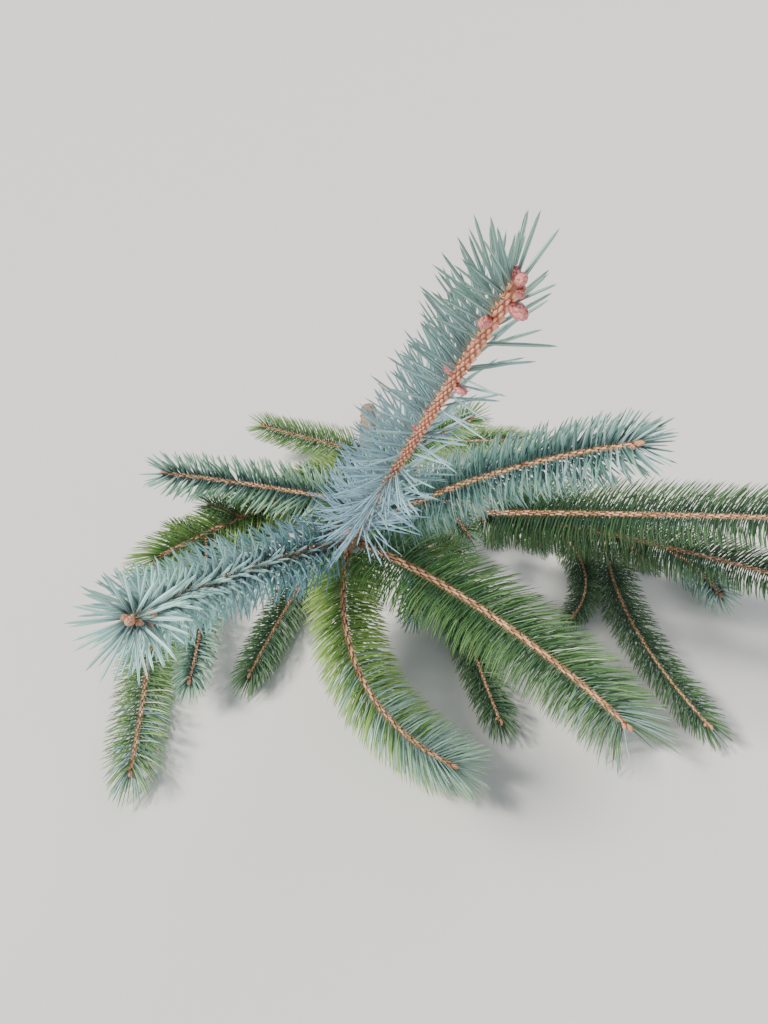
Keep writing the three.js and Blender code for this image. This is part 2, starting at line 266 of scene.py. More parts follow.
def socket_of(sockets, key):
    """A socket by its number, or the one in use that has this name."""
    if isinstance(key, int):
        return sockets[key]
    return next(socket for socket in sockets if socket.name == key and socket.enabled)


def new_node(tree, kind, feeds=(), **settings):
    """Adds a node. feeds pairs each socket with a value or with a flow."""
    made = tree.nodes.new(kind)
    for name, value in settings.items():
        setattr(made, name, value)
    for key, value in dict(feeds).items():
        if isinstance(value, Flow):
            value.into(made, key)
        else:
            socket_of(made.inputs, key).default_value = value
    return made


def add(tree, kind, feeds=(), out=0, **settings):
    """Adds a node and gives what comes out of it."""
    return Flow(socket_of(new_node(tree, kind, feeds, **settings).outputs, out))


def tree_of(values):
    return next(value.tree for value in values if isinstance(value, Flow))


def maths(operation, *values):
    return add(tree_of(values), "ShaderNodeMath", enumerate(values), operation=operation)


def vectors(operation, *values):
    out = "Value" if operation == "LENGTH" else "Vector"
    return add(tree_of(values), "ShaderNodeVectorMath", enumerate(values), out, operation=operation)


def is_vector(value):
    if isinstance(value, Flow):
        return value.socket.type == "VECTOR"
    return not isinstance(value, (int, float))


def combined(operation, a, b):
    return (vectors if is_vector(a) else maths)(operation, a, b)


def joined(x, y, z):
    return add(tree_of((x, y, z)), "ShaderNodeCombineXYZ", {"X": x, "Y": y, "Z": z})


def parts_of(vector):
    made = new_node(vector.tree, "ShaderNodeSeparateXYZ", {"Vector": vector})
    return [Flow(part) for part in made.outputs]


def ramped(value, low, high, to_low=0.0, to_high=1.0, kind="SMOOTHSTEP"):
    """The value taken from one range to another, and held at its ends."""
    feeds = {"Value": value, "From Min": low, "From Max": high, "To Min": to_low, "To Max": to_high}
    return add(value.tree, "ShaderNodeMapRange", feeds, interpolation_type=kind)


def even(share, first, last):
    """A number that goes evenly from the first to the last as a share grows from 0 to 1."""
    return ramped(share, 0.0, 1.0, first, last, "LINEAR")


SOCKETS = {
    "number": "NodeSocketFloat", "seed": "NodeSocketInt", "vector": "NodeSocketVector",
    "colour": "NodeSocketColor", "object": "NodeSocketObject", "material": "NodeSocketMaterial",
    "geometry": "NodeSocketGeometry",
}


def open_tree(name, kind, inputs, outputs):
    """A new tree with named sockets of each kind. Gives it with its inputs and its last node."""
    tree = bpy.data.node_groups.new(name, kind)
    for sockets, direction in ((inputs, "INPUT"), (outputs, "OUTPUT")):
        for socket, labels in sockets.items():
            for label in labels:
                tree.interface.new_socket(label, in_out=direction, socket_type=SOCKETS[socket])
    given = tree.nodes.new("NodeGroupInput").outputs
    return tree, {out.name: Flow(out) for out in given}, tree.nodes.new("NodeGroupOutput")


def realized(geometry):
    return add(geometry.tree, "GeometryNodeRealizeInstances", {"Geometry": geometry})


def coated(geometry, finish):
    """Makes the copies in a geometry real and gives all of it a finish."""
    feeds = {"Geometry": realized(geometry), "Material": finish}
    return add(geometry.tree, "GeometryNodeSetMaterial", feeds)


def together(*parts):
    made = parts[0].tree.nodes.new("GeometryNodeJoinGeometry")
    for part in parts:
        part.into(made)
    return Flow(made.outputs[0])


def stored(geometry, name, value, domain, kind="FLOAT"):
    """Stores a value with a geometry, under a name that a finish or another tree reads."""
    feeds = {"Geometry": geometry, "Name": name, "Value": value}
    return add(geometry.tree, "GeometryNodeStoreNamedAttribute", feeds, data_type=kind, domain=domain)


def moved(geometry, **where):
    """Moves points: to a Position, or by an Offset."""
    return add(geometry.tree, "GeometryNodeSetPosition", {"Geometry": geometry, **where})


def smoothed(geometry):
    return add(geometry.tree, "GeometryNodeSetShadeSmooth", {"Geometry": geometry})


print("the trees' sockets are of", len(SOCKETS), "kinds")

# %% [markdown]
# A pattern that several finishes share is a shader group. Mottle gives soft patches at a chosen
# size, from noise in the object's own coordinates, and a fine grain for the bump. The bark, the
# buds and the cut wood all use it, each with its own size.

# %% Shader group: mottle


def mottle_group():
    tree, given, last = open_tree("Mottle", "ShaderNodeTree", {
        "number": ("Patches per metre", "Grain per metre", "Sharpness"),
    }, {"number": ("Patch", "Grain")})
    place = add(tree, "ShaderNodeTexCoord", out="Object")
    patches = add(tree, "ShaderNodeTexNoise", {
        "Vector": place, "Scale": given["Patches per metre"], "Detail": 3.0})
    half_width = (1.0 - given["Sharpness"]) * .3
    ramped(patches, .5 - half_width, .5 + half_width).into(last, "Patch")
    add(tree, "ShaderNodeTexNoise", {
        "Vector": place, "Scale": given["Grain per metre"], "Detail": 4.0}).into(last, "Grain")
    return tree


mottle = mottle_group()


def painted(factor, first, second):
    """A blend of two colours. Each is a fixed colour or a flow."""
    feeds = {"Factor": factor}
    for key, colour in ((6, first), (7, second)):
        feeds[key] = colour if isinstance(colour, Flow) else (*colour, 1)
    return add(factor.tree, "ShaderNodeMix", feeds, 2, data_type="RGBA")


def attribute(tree, name):
    return add(tree, "ShaderNodeAttribute", out="Fac", attribute_name=name)


def mottled(tree, patches, grain, sharpness):
    """A mottle group placed in a material, with patches and grain that many to the metre."""
    feeds = {"Patches per metre": patches, "Grain per metre": grain, "Sharpness": sharpness}
    made = new_node(tree, "ShaderNodeGroup", feeds, node_tree=mottle)
    return [Flow(out) for out in made.outputs]


def coat(shader, colour, roughness, height, depth):
    """Feeds a shader. The height, of 0 to 1, shapes the shine as relief of that depth."""
    colour.into(shader, "Base Color")
    roughness.into(shader, "Roughness")
    feeds = {"Height": height, "Strength": 1.0, "Distance": depth}
    add(height.tree, "ShaderNodeBump", feeds).into(shader, "Normal")


print("mottle has", len(mottle.nodes), "nodes")

# %% [markdown]
# The finish of a needle. Its green face is waxy and even, with a paler keel. Its blue face has two
# bands of breathing pores, pale with wax, on both sides of a green rib. The wax is thickest and the
# colour lightest towards the tip. The foot is yellowish and the point straw-coloured. Every
# needle has a tone of its own, and the colours drift from the shoot's foot to its head. Both come
# from one number: its whole eighths say how far up the shoot the needle stands, and what is left
# over is its tone. All of it hangs on four numbers that the needle's mesh carries, so the pattern
# stays with the needle.

# %% Shader group: needle face
LOOKS = 8   # stages along a shoot, and tones in each
PORE_ROWS = 42.0   # the rows of pores across half a face, as the turn of a wave
SHADE, FOOT, POINT = (.015, .045, .06), (.38, .31, .13), (.50, .30, .10)
FACE_COLOURS = "Green", "Bright green", "Bright green at head", "Wax", "Wax at head"


def needle_group():
    tree, given, last = open_tree("Needle face", "ShaderNodeTree", {
        "colour": FACE_COLOURS, "number": ("Wax amount", "Shade at foot"),
    }, {"colour": ("Colour",), "number": ("Roughness", "Height")})
    along = attribute(tree, "along")
    look = attribute(tree, "tone") * float(LOOKS)
    tone, stage = maths("FRACT", look), maths("FLOOR", look) / (LOOKS - 1.0)
    bright = painted(stage, given["Bright green"], given["Bright green at head"])
    waxy = painted(stage, given["Wax"], given["Wax at head"])
    edge = maths("ABSOLUTE", attribute(tree, "across"))

    beside_rib, inside_rim = ramped(edge, .1, .26), ramped(edge, .98, .76)
    band = beside_rib * inside_rim * ramped(along, .98, .84) * attribute(tree, "blue_face")
    rows = maths("SINE", edge * PORE_ROWS) * .12 + .88
    wax = band * rows * given["Wax amount"]

    green = painted((tone + ramped(along, .1, .9)) * .5, given["Green"], bright)
    keel = ramped(edge, .22, 0.0) * .35
    colour = painted(wax, painted(keel, green, bright), waxy)
    # Painted shade: each needle darkens towards its foot, by the finish's shade at foot; a needle of
    # darker tone is darker all along.
    in_shade = ramped(along, .55, 0.0) * given["Shade at foot"] + (1.0 - tone) * .32
    colour = painted(in_shade, colour, SHADE)
    colour = painted(ramped(along, .07, 0.0) * .7, colour, FOOT)
    colour = painted(ramped(along, .955, .99), colour, POINT)
    colour.into(last, "Colour")
    (wax * .22 + .34).into(last, "Roughness")
    (band * -.6 + keel).into(last, "Height")
    return tree


needle_face = needle_group()


def needle_finish(name, green, brights, waxes, amount, shade):
    """Brights and waxes each have a colour at the shoot's foot and one at its head."""
    made, tree, shader = new_material(name)
    colours = [(*colour, 1) for colour in (green, *brights, *waxes)]
    feeds = dict(zip(FACE_COLOURS, colours), **{"Wax amount": amount, "Shade at foot": shade})
    face = new_node(tree, "ShaderNodeGroup", feeds, node_tree=needle_face)
    shader.inputs["Specular IOR Level"].default_value = .4
    coat(shader, *(Flow(out) for out in face.outputs), .08 * MM)
    return made


NEEDLES = {   # green, bright green at foot and head, wax at foot and head, its amount, shade
    BLUE: ((.06, .17, .15), ((.26, .46, .40), (.30, .52, .44)),
           ((.56, .80, .90), (.66, .90, .94)), 1.0, .5),
    GREEN: ((.07, .20, .03), ((.40, .62, .20), (.40, .62, .24)),
            ((.44, .70, .70), (.48, .76, .92)), .9, .35),
    DEEP: ((.028, .085, .028), ((.14, .27, .09), (.16, .29, .13)),
           ((.33, .52, .52), (.40, .62, .66)), .85, .3),
    "leader_needles": ((.10, .23, .32), ((.37, .66, .96), (.20, .42, .28)),
                       ((.57, .86, 1.0), (.44, .70, .62)), 1.0, .3),
    # Waxy needles, and painted light: brighter than the blue ones, most at the sunlit head, with deeper
    # painted shade at their feet.
    "sunlit_silver_needles": ((.06, .19, .20), ((.20, .42, .48), (.48, 1.0, .86)),
                       ((.42, .64, .78), (.68, 1.0, .95)), 1.0, .75),
    "frosty_needles": ((.08, .20, .12), ((.38, .60, .42), (.42, .68, .50)),
                       ((.66, .96, .82), (.72, 1.0, .90)), 1.0, .8),
    "sunlit_needles": ((.11, .27, .03), ((.60, .84, .20), (.50, .74, .24)),
                       ((.52, .78, .66), (.58, .86, .96)), .9, .25),
    "fresh_needles": ((.04, .13, .03), ((.20, .40, .10), (.24, .42, .17)),
                      ((.44, .68, .62), (.50, .76, .80)), .85, .2),
}
finishes = {name: needle_finish(name, *row) for name, row in NEEDLES.items()}
print(len(finishes), "finishes for needles, from a face of", len(needle_face.nodes), "nodes")

# %% [markdown]
# Young bark is orange brown, with pale cushions and peg tips that have dried to straw. Painted shade
# darkens its furrows, and also some cushions drawn at random, as the shaded notches between the pegs. Old
# bark is grey brown and flaky, with darker cracks and a few pale lichen flecks. Both read how high a
# point stands from their mesh: the young bark's painted shade sits in its real furrows, and old bark
# darkens where it lies low.

# %% Bark, wood and bud finishes


def young_bark_finish(name, furrow_shade, crest, sunlit, wear):
    made, tree, shader = new_material(name)
    patch, grain = mottled(tree, 260.0, 2600.0, .2)
    ridge = attribute(tree, "ridge")
    # Painted shade: some cushions, drawn at random, are darker, as the shaded notches between the pegs.
    notch_shading = ramped(attribute(tree, "wear"), .45, 1.0, 0.0, wear)
    back = painted(notch_shading, painted(patch, crest, sunlit), (.24, .10, .05))
    # Painted shade: where the mesh lies low, between the cushions, the bark takes the dark furrow colour.
    colour = painted(ramped(ridge, 0.0, .6), furrow_shade, back)
    colour = painted(ramped(ridge, 1.0, 1.45, 0.0, .4), colour, (.95, .70, .48))
    coat(shader, colour, ramped(grain, .3, .7, .55, .8), grain, .12 * MM)
    return made


def old_bark_finish():
    made, tree, shader = new_material("old_bark")
    patch, grain = mottled(tree, 130.0, 1500.0, .45)
    fleck, _ = mottled(tree, 420.0, 1500.0, .8)
    colour = painted(patch, (.27, .175, .11), (.37, .27, .19))
    colour = painted(fleck * .18, colour, (.46, .44, .36))
    colour = painted(ramped(attribute(tree, "relief"), .45, .12), colour, (.12, .07, .045))
    coat(shader, colour, ramped(grain, .3, .7, .75, .95), grain, .3 * MM)
    return made


YEAR_RINGS = 7


def cut_wood_finish():
    """Year rings round the pith: each goes from pale early wood to a thin dark late line."""
    made, tree, shader = new_material("cut_wood")
    patch, grain = mottled(tree, 500.0, 5000.0, .1)
    from_pith = (add(tree, "ShaderNodeTexCoord", out="Object") - cut_centre) * (1, 0, 1)
    radius = vectors("LENGTH", from_pith) + patch * (.25 * MM)
    year = maths("FRACT", radius * (YEAR_RINGS / CUT_RADIUS))
    colour = painted(ramped(year, .45, .97), (.80, .64, .40), (.50, .31, .14))
    colour = painted(grain * .25, colour, (.62, .47, .28))
    colour = painted(ramped(radius, .9 * MM, .35 * MM), colour, (.30, .17, .08))
    coat(shader, colour, ramped(grain, .3, .7, .6, .8), year * .5 + grain, .08 * MM)
    return made


def bud_finish(name, heart, rim, shine):
    """Bud scales: coloured hearts with thin papery rims, and a film of resin."""
    made, tree, shader = new_material(name)
    patch, grain = mottled(tree, 700.0, 5200.0, .2)
    colour = painted(patch, heart, tuple(part * .72 for part in heart))
    colour = painted(ramped(attribute(tree, "rim"), .35, .95), colour, rim)
    shader.inputs["Coat Weight"].default_value = shine
    coat(shader, colour, ramped(grain, .3, .7, .34, .55), grain, .06 * MM)
    return made


BARKS = {   # furrow with painted shade, crest, sunlit crest, and how far painted notch shade darkens some cushions
    "young_bark": ((.16, .06, .03), (.76, .39, .21), (.96, .60, .38), .75),
    "twig_bark": ((.10, .055, .03), (.30, .19, .12), (.38, .26, .17), .4),
    "leader_bark": ((.34, .12, .07), (.86, .38, .24), (1.0, .54, .38), .3),
}
BUDS = {   # heart, rim and film of resin
    "buds": ((.92, .42, .25), (.98, .60, .40), .2),
    "leader_buds": ((1.0, .30, .30), (1.0, .46, .44), .2),
    "bud_scales": ((.34, .16, .08), (.62, .40, .24), .0),
}
finishes.update({name: young_bark_finish(name, *row) for name, row in BARKS.items()})
finishes["old_bark"], finishes["cut_wood"] = old_bark_finish(), cut_wood_finish()
finishes.update({name: bud_finish(name, *row) for name, row in BUDS.items()})
print(len(finishes), "finishes")

# %% [markdown]
# One needle is a flat four-edged blade: a thin foot, a long even middle and a short sharp point.
# Thousands of copies stand on the branch, so it has fewer than twenty faces, and its finish does
# the rest. Its mesh carries where each point is along and across it, and which faces are blue.
# Its own map lays the four sides beside each other.

# %% Needle
NEEDLE_LENGTH, NEEDLE_HALF_WIDTH, NEEDLE_HALF_DEPTH = 20 * MM, .41 * MM, .23 * MM
NEEDLE_RINGS = (   # share of the length, of the width and of the depth
    (-.02, .65, .9), (.12, .97, 1), (.55, 1, 1), (.88, .66, .75))
MAP_NAME = "OFBake"


def store(mesh, name, kind, domain, values, field="value"):
    mesh.attributes.new(name, kind, domain).data.foreach_set(field, values)


def faces_between(rings, sides):
    """The faces between rings of points that follow each other in a list."""
    for ring in range(rings - 1):
        for side in range(sides):
            a, b = sides * ring + side, sides * ring + (side + 1) % sides
            yield a, a + sides, b + sides, b


def needle_object():
    """A needle along +Y whose green face looks up and whose blue face looks down."""
    points, along, across = [], [], []
    for share, width, depth in NEEDLE_RINGS:
        for x, z in ((-1, 0), (0, -1), (1, 0), (0, 1)):
            points.append((x * width * NEEDLE_HALF_WIDTH, share * NEEDLE_LENGTH,
                           z * depth * NEEDLE_HALF_DEPTH))
            along.append(max(share, 0))
            across.append(x)
    points.append((0, NEEDLE_LENGTH, 0))
    along.append(1)
    across.append(0)
    tip = len(points) - 1
    faces = [(0, 1, 2, 3), *faces_between(len(NEEDLE_RINGS), 4)]
    faces += [(tip - 4 + side, tip, tip - 4 + (side + 1) % 4) for side in range(4)]
    strips = list(range(4)) * len(NEEDLE_RINGS)
    mesh = bpy.data.meshes.new("needle")
    mesh.from_pydata(points, [], faces)
    store(mesh, "along", "FLOAT", "POINT", along)
    store(mesh, "across", "FLOAT", "POINT", across)
    store(mesh, "blue_face", "FLOAT", "FACE", [0.0, *(float(strip < 2) for strip in strips)])
    uv = []
    for face, strip in zip(faces, [0, *strips]):
        for corner in face:
            on_far_edge = corner == tip or corner % 4 != strip
            uv += [(strip + (.5 if corner == tip else on_far_edge)) / 4, along[corner]]
    store(mesh, MAP_NAME, "FLOAT2", "CORNER", uv, "vector")
    return bpy.data.objects.new("needle", mesh)


needle = needle_object()
print("a needle has", len(needle.data.polygons), "faces")

# %% [markdown]
# Needles and cushions share one spiral: each next one stands one golden angle further round the
# shoot. Needles part on the side where the branch gets its light, and here that is in front and
# above. The steps below find a limb's own directions, with its top turned to that open side, the
# turn of each point and the limb's radius there, and stand copies of a shape on the points.

# %% The spiral
GOLDEN_ANGLE = math.radians(137.508)
OPEN_SIDE = whorl + Vector((14, -256, 194)) * MM


def here(tree):
    return add(tree, "GeometryNodeInputPosition")


def resampled(route, step):
    return add(route.tree, "GeometryNodeResampleCurve", {"Curve": route, "Length": step}, mode="LENGTH")


def spiral_on(given):
    """Points a step apart on the route, with what the formulas need there."""
    points = resampled(given["Route"], given["Step"])
    along = vectors("NORMALIZE", add(points.tree, "GeometryNodeInputTangent"))
    to_light = vectors("SUBTRACT", OPEN_SIDE, here(points.tree))
    side = vectors("NORMALIZE", vectors("CROSS_PRODUCT", along, to_light))
    index = add(points.tree, "GeometryNodeInputIndex")
    share = add(points.tree, "GeometryNodeSplineParameter", out="Factor")
    return SimpleNamespace(
        points=points, along=along, side=side, top=vectors("CROSS_PRODUCT", side, along),
        turn=maths("WRAP", index * GOLDEN_ANGLE, math.pi, -math.pi), share=share,
        length=add(points.tree, "GeometryNodeSplineParameter", out="Length"),
        radius=even(share, given["Foot radius"], given["Tip radius"]))


def around(spot, turn):
    """The way out from a limb at this turn from its top."""
    return spot.top * maths("COSINE", turn) + spot.side * maths("SINE", turn)


def scattered(low, high, seed, shift):
    """A number drawn anew for each point."""
    feeds = {2: low, 3: high, "Seed": seed + float(shift)}
    return add(seed.tree, "FunctionNodeRandomValue", feeds, 1, data_type="FLOAT")


def captured(geometry, **values):
    """Notes values on a geometry's points, so that later nodes read them as they were here."""
    made = geometry.tree.nodes.new("GeometryNodeCaptureAttribute")
    for label, (kind, value) in values.items():
        made.capture_items.new(kind, label)
        value.into(made, label)
    geometry.into(made, "Geometry")
    return {out.name: Flow(out) for out in made.outputs}


def stood_on(points, chosen, shape, foot, way, face, size, **noted):
    """Copies of a shape: its foot, the way its +Y points, the way its +Z looks, and its size."""
    turned = add(points.tree, "FunctionNodeAxesToRotation", {
        "Primary Axis": way, "Secondary Axis": face}, primary_axis="Y", secondary_axis="Z")
    notes = captured(points, foot=("VECTOR", foot), turned=("ROTATION", turned),
                     size=("VECTOR", size), chosen=("BOOLEAN", chosen), **noted)
    copies = add(points.tree, "GeometryNodeInstanceOnPoints", {
        "Points": moved(notes["Geometry"], Position=notes["foot"]), "Selection": notes["chosen"],
        "Instance": add(points.tree, "GeometryNodeObjectInfo", {"Object": shape}, "Geometry"),
        "Rotation": notes["turned"], "Scale": notes["size"]})
    return copies, notes


def above(geometry, least):
    """Lifts the points that would be lower than this."""
    x, y, z = parts_of(here(geometry.tree))
    return moved(geometry, Position=joined(x, y, maths("MAXIMUM", z, least)))


def upward(height):
    return joined(0.0, 0.0, height)


print("the open side is seen from", round((OPEN_SIDE - whorl).length / MM), "mm off")

# %% [markdown]
# Needles along a shoot. Those near the top are combed to the two sides, as on a real spruce. The
# spread from the shoot narrows towards the tip, where they close to a tuft that is less combed,
# and they grow shorter. A shoot can have lost a share of its upper ones, and more on its right, and
# its right side can lean closer to the stem than its left, as gravity and light have drawn it. A
# needle that would go through the floor lies down on it. Each is then swept a little forward and
# sags under its weight. Each look of the finish has its own tile of the needle's map.

# %% Geometry Nodes: needles along a shoot
PEG_HEIGHT = .5 * MM
FEET_LEAN = .6   # how far the feet follow the combing, which bares the top of the stem
STEEPEST = .9   # the most that the floor can make a needle rise
FLOOR_GAP, TIP_GAP = .1 * MM, .3 * MM   # what stays free under a foot, and under a tip besides
PARTING_GROWS, LOSS_GROWS = (.28, .6), (.3, .65)   # between which shares of the shoot
TUFT_LOOSER = .35   # the share of the combing that the tuft at the tip gives up
TURN_DRAW, TILT_DRAW, DRIFT_DRAW = .35, .45, .08   # how far draws take a needle from the usual
TILE_SHARE = .9   # the rest of a tile is its margin
LAST_LOOK = LOOKS - .01   # draws stop just short of the next look


def laid_on_floor(way, foot, length, floor):
    """The way a needle points once its tip may not go below the floor."""
    x, y, z = parts_of(way)
    lowest = (floor - parts_of(foot)[2]) / length
    rise = maths("MAXIMUM", z, maths("MINIMUM", lowest, STEEPEST))
    stretch = maths("SQRT", 1.0 - rise * rise) / vectors("LENGTH", joined(x, y, 0.0))
    return joined(x * stretch, y * stretch, rise)


def carried(tree, name, kind="FLOAT"):
    """What a mesh carries under this name."""
    return add(tree, "GeometryNodeInputNamedAttribute", {"Name": name}, data_type=kind)


def tiled(geometry):
    """Moves each needle's map to the tile of its look."""
    tile = maths("FLOOR", carried(geometry.tree, "tone") * float(LOOKS ** 2))
    corner = joined(maths("MODULO", tile, float(LOOKS)), maths("FLOOR", tile / float(LOOKS)), 0.0)
    margin = (1 - TILE_SHARE) / 2
    inside = carried(geometry.tree, MAP_NAME, "FLOAT_VECTOR") * (TILE_SHARE, TILE_SHARE, 0)
    uv = (inside + (margin, margin, 0) + corner) * (1 / LOOKS)
    return stored(geometry, MAP_NAME, uv, "CORNER", "FLOAT2")


def needle_tree():
    tree, given, last = open_tree("Needles along a shoot", "GeometryNodeTree", {
        "geometry": ("Route",), "object": ("Needle",), "material": ("Finish",), "seed": ("Seed",),
        "number": (
            "Step", "Bare foot", "Foot radius", "Tip radius", "Length", "Tip share", "Uneven",
            "Parting at foot", "Parting", "Keel", "Width", "Stray", "Lost", "Lost on the right",
            "Lean on the right", "Tuft start", "Face up", "Blue from", "Sweep", "Sag", "Floor"),
        "vector": ("Spread",),
    }, {"geometry": ("Needles",)})
    spot, seed, uneven, stray = spiral_on(given), given["Seed"], given["Uneven"], given["Stray"]
    share, turn = spot.share, spot.turn

    usual = given["Length"] * even(share, 1.0, given["Tip share"])
    length = usual * scattered(1.0 - uneven, uneven + 1.0, seed, 0)

    closing = ramped(share, given["Tuft start"], 1.0)
    parting = ramped(share, *PARTING_GROWS, given["Parting at foot"], given["Parting"])
    parting = parting * (closing * -TUFT_LOOSER + 1.0)
    lowest = math.pi - given["Keel"] * (1.0 - closing)
    opened = ramped(maths("ABSOLUTE", turn), 0.0, math.pi, parting, lowest, "LINEAR")
    combed = maths("SIGN", turn) * opened + scattered(stray * -1.0, stray, seed, 100)
    on_right = combed > 0.0
    out = around(spot, combed)
    foot_turn = (combed - turn) * FEET_LEAN + turn

    at_foot, at_head, at_tip = parts_of(given["Spread"])
    spread = even(share, at_foot, at_head)
    spread = add(tree, "ShaderNodeMix", {"Factor": closing, "A": spread, "B": at_tip})
    spread = spread + scattered(stray * -1.0, stray, seed, 200)
    spread = spread - on_right * given["Lean on the right"]
    free = spot.along * maths("COSINE", spread) + out * maths("SINE", spread)
    foot = here(tree) + around(spot, foot_turn) * (spot.radius + PEG_HEIGHT)
    way = laid_on_floor(free, foot, length, given["Floor"])

    face = add(tree, "ShaderNodeMix", {
        "Factor": given["Face up"], 4: out * -1.0, 5: spot.top}, 1, data_type="VECTOR")
    turned_up = share + scattered(-TURN_DRAW, TURN_DRAW, seed, 300) > given["Blue from"]
    face = face * (turned_up * -2.0 + 1.0)
    face = face + vectors("CROSS_PRODUCT", way, face) * scattered(-TILT_DRAW, TILT_DRAW, seed, 400)
    size = joined(given["Width"], length / NEEDLE_LENGTH, 1.0)
    swept = (spot.along * given["Sweep"] - upward(given["Sag"])) * length

    beyond_foot = spot.length > given["Bare foot"]
    risk = on_right * given["Lost on the right"] + ramped(share, *LOSS_GROWS) * given["Lost"]
    kept = scattered(0.0, 1.0, seed, 600) > risk
    drifting = even(share + scattered(-DRIFT_DRAW, DRIFT_DRAW, seed, 700), 0.0, LAST_LOOK)
    copies, notes = stood_on(
        spot.points, beyond_foot * kept, given["Needle"], foot, way, face, size,
        swept=("VECTOR", swept), stage=("FLOAT", drifting))

    look = maths("FLOOR", scattered(0.0, LAST_LOOK, seed, 500))
    tile = maths("FLOOR", notes["stage"]) * float(LOOKS) + look
    toned = stored(copies, "tone", (tile + .5) / float(LOOKS ** 2), "INSTANCE")
    along = carried(tree, "along")
    bent = moved(realized(toned), Offset=notes["swept"] * (along * along))
    clear = above(bent, along * TIP_GAP + FLOOR_GAP)
    coated(tiled(clear), given["Finish"]).into(last)
    return tree


needles_along = needle_tree()
print("the needles' tree has", len(needles_along.nodes), "nodes")

# %% [markdown]
# Bark of a young shoot: its stem is wrapped in long narrow cushions, packed like the strands of a
# rope. Each ends in a small peg that held a needle's foot. A plain tube carries them, and they
# follow a spiral like the needles' own, in wider steps, so that about as many lie side by side as
# the stem has room for. Where the shoot leaves its parent, a collar of dry scales is left from the
# bud that it grew out of.

# %% Cushion and bud scale
CUSHION_LENGTH, CUSHION_HALF_WIDTH, CUSHION_HEIGHT = 5 * MM, .7 * MM, .42 * MM
CUSHION_RINGS = (   # share of the length, of the width and of the height
    (-1, .15, .1), (-.5, .95, .75), (-.1, .8, 1.2), (.05, .4, 1.55))
CUSHION_SUNK, SCALE_SUNK = .6, .15   # how deep the edges lie, as a share of the height
SCALE_LENGTH, SCALE_HALF_WIDTH, SCALE_DEPTH = 1.7 * MM, .8 * MM, .12 * MM
SCALE_ROWS = (0, .75, .5), (.5, 1, 1), (.85, .62, .8)   # the same shares, of the scale
SCALE_POINT = 1.1, .35   # share of the length and of the height


def shape_object(name, points, faces, noted, values):
    mesh = bpy.data.meshes.new(name)
    mesh.from_pydata(points, [], faces)
    store(mesh, noted, "FLOAT", "POINT", [float(value) for value in values])
    mesh.shade_smooth()
    return bpy.data.objects.new(name, mesh)


def cushion_object():
    """A cushion that ends at the origin in a peg, and lies along -Y with its back up."""
    points, ridge = [], []
    edge = -CUSHION_SUNK * CUSHION_HEIGHT
    for share, width, height in CUSHION_RINGS:
        wide, high = width * CUSHION_HALF_WIDTH, height * CUSHION_HEIGHT
        for x, z, crest in ((-1, edge, 0), (-.5, high, height), (.5, high, height), (1, edge, 0)):
            points.append((x * wide, share * CUSHION_LENGTH, z))
            ridge.append(crest)
    last = len(points) - 4
    faces = [(0, 1, 2, 3), *faces_between(len(CUSHION_RINGS), 4),
             (last + 3, last + 2, last + 1, last)]
    return shape_object("cushion", points, faces, "ridge", ridge)


def scale_object():
    """A bud scale: a small shield along +Y with its back up, closed below."""
    points, rim = [], []
    for share, width, height in SCALE_ROWS:
        for x in (-1, 0, 1):
            lift = height if x == 0 else -SCALE_SUNK
            points.append((x * width * SCALE_HALF_WIDTH, share * SCALE_LENGTH, lift * SCALE_DEPTH))
            rim.append(abs(x) * .9)
    points.append((0, SCALE_POINT[0] * SCALE_LENGTH, SCALE_POINT[1] * SCALE_DEPTH))
    rim.append(1)
    faces = [(a, a + 1, a + 4, a + 3) for a in (0, 1, 3, 4)]
    faces += [(6, 7, 9), (7, 8, 9), (0, 2, 1), (0, 3, 6, 9, 8, 5, 2)]
    return shape_object("bud_scale", points, faces, "rim", rim)


cushion, bud_scale = cushion_object(), scale_object()
print("a cushion has", len(cushion.data.polygons), "faces, a scale", len(bud_scale.data.polygons))

# %% [markdown]
# The tree for young bark makes a closed tube on the route and stands the cushions on it along the
# spiral, each lying back from its peg. The scales of the collar stand on the same points, but only
# for a few millimetres past the parent's own bark, where they flare out and hide the joint.

# %% Geometry Nodes: bark of a young shoot
TUBE_STEP, TUBE_SIDES = 2 * MM, 12
CUSHION_REACH = .8, 1.1   # the least and the most, as shares of the usual length
COLLAR_LENGTH, COLLAR_FLARE = 3.2 * MM, .45
COLLAR_SIZES = 1.0, 1.5


def tube_on(given, radius, step, sides):
    """A closed tube along the route."""
    path = resampled(given["Route"], step)
    ring = add(path.tree, "GeometryNodeCurvePrimitiveCircle", {"Resolution": sides, "Radius": 1.0})
    return smoothed(add(path.tree, "GeometryNodeCurveToMesh", {
        "Curve": path, "Profile Curve": ring, "Scale": radius, "Fill Caps": True}))


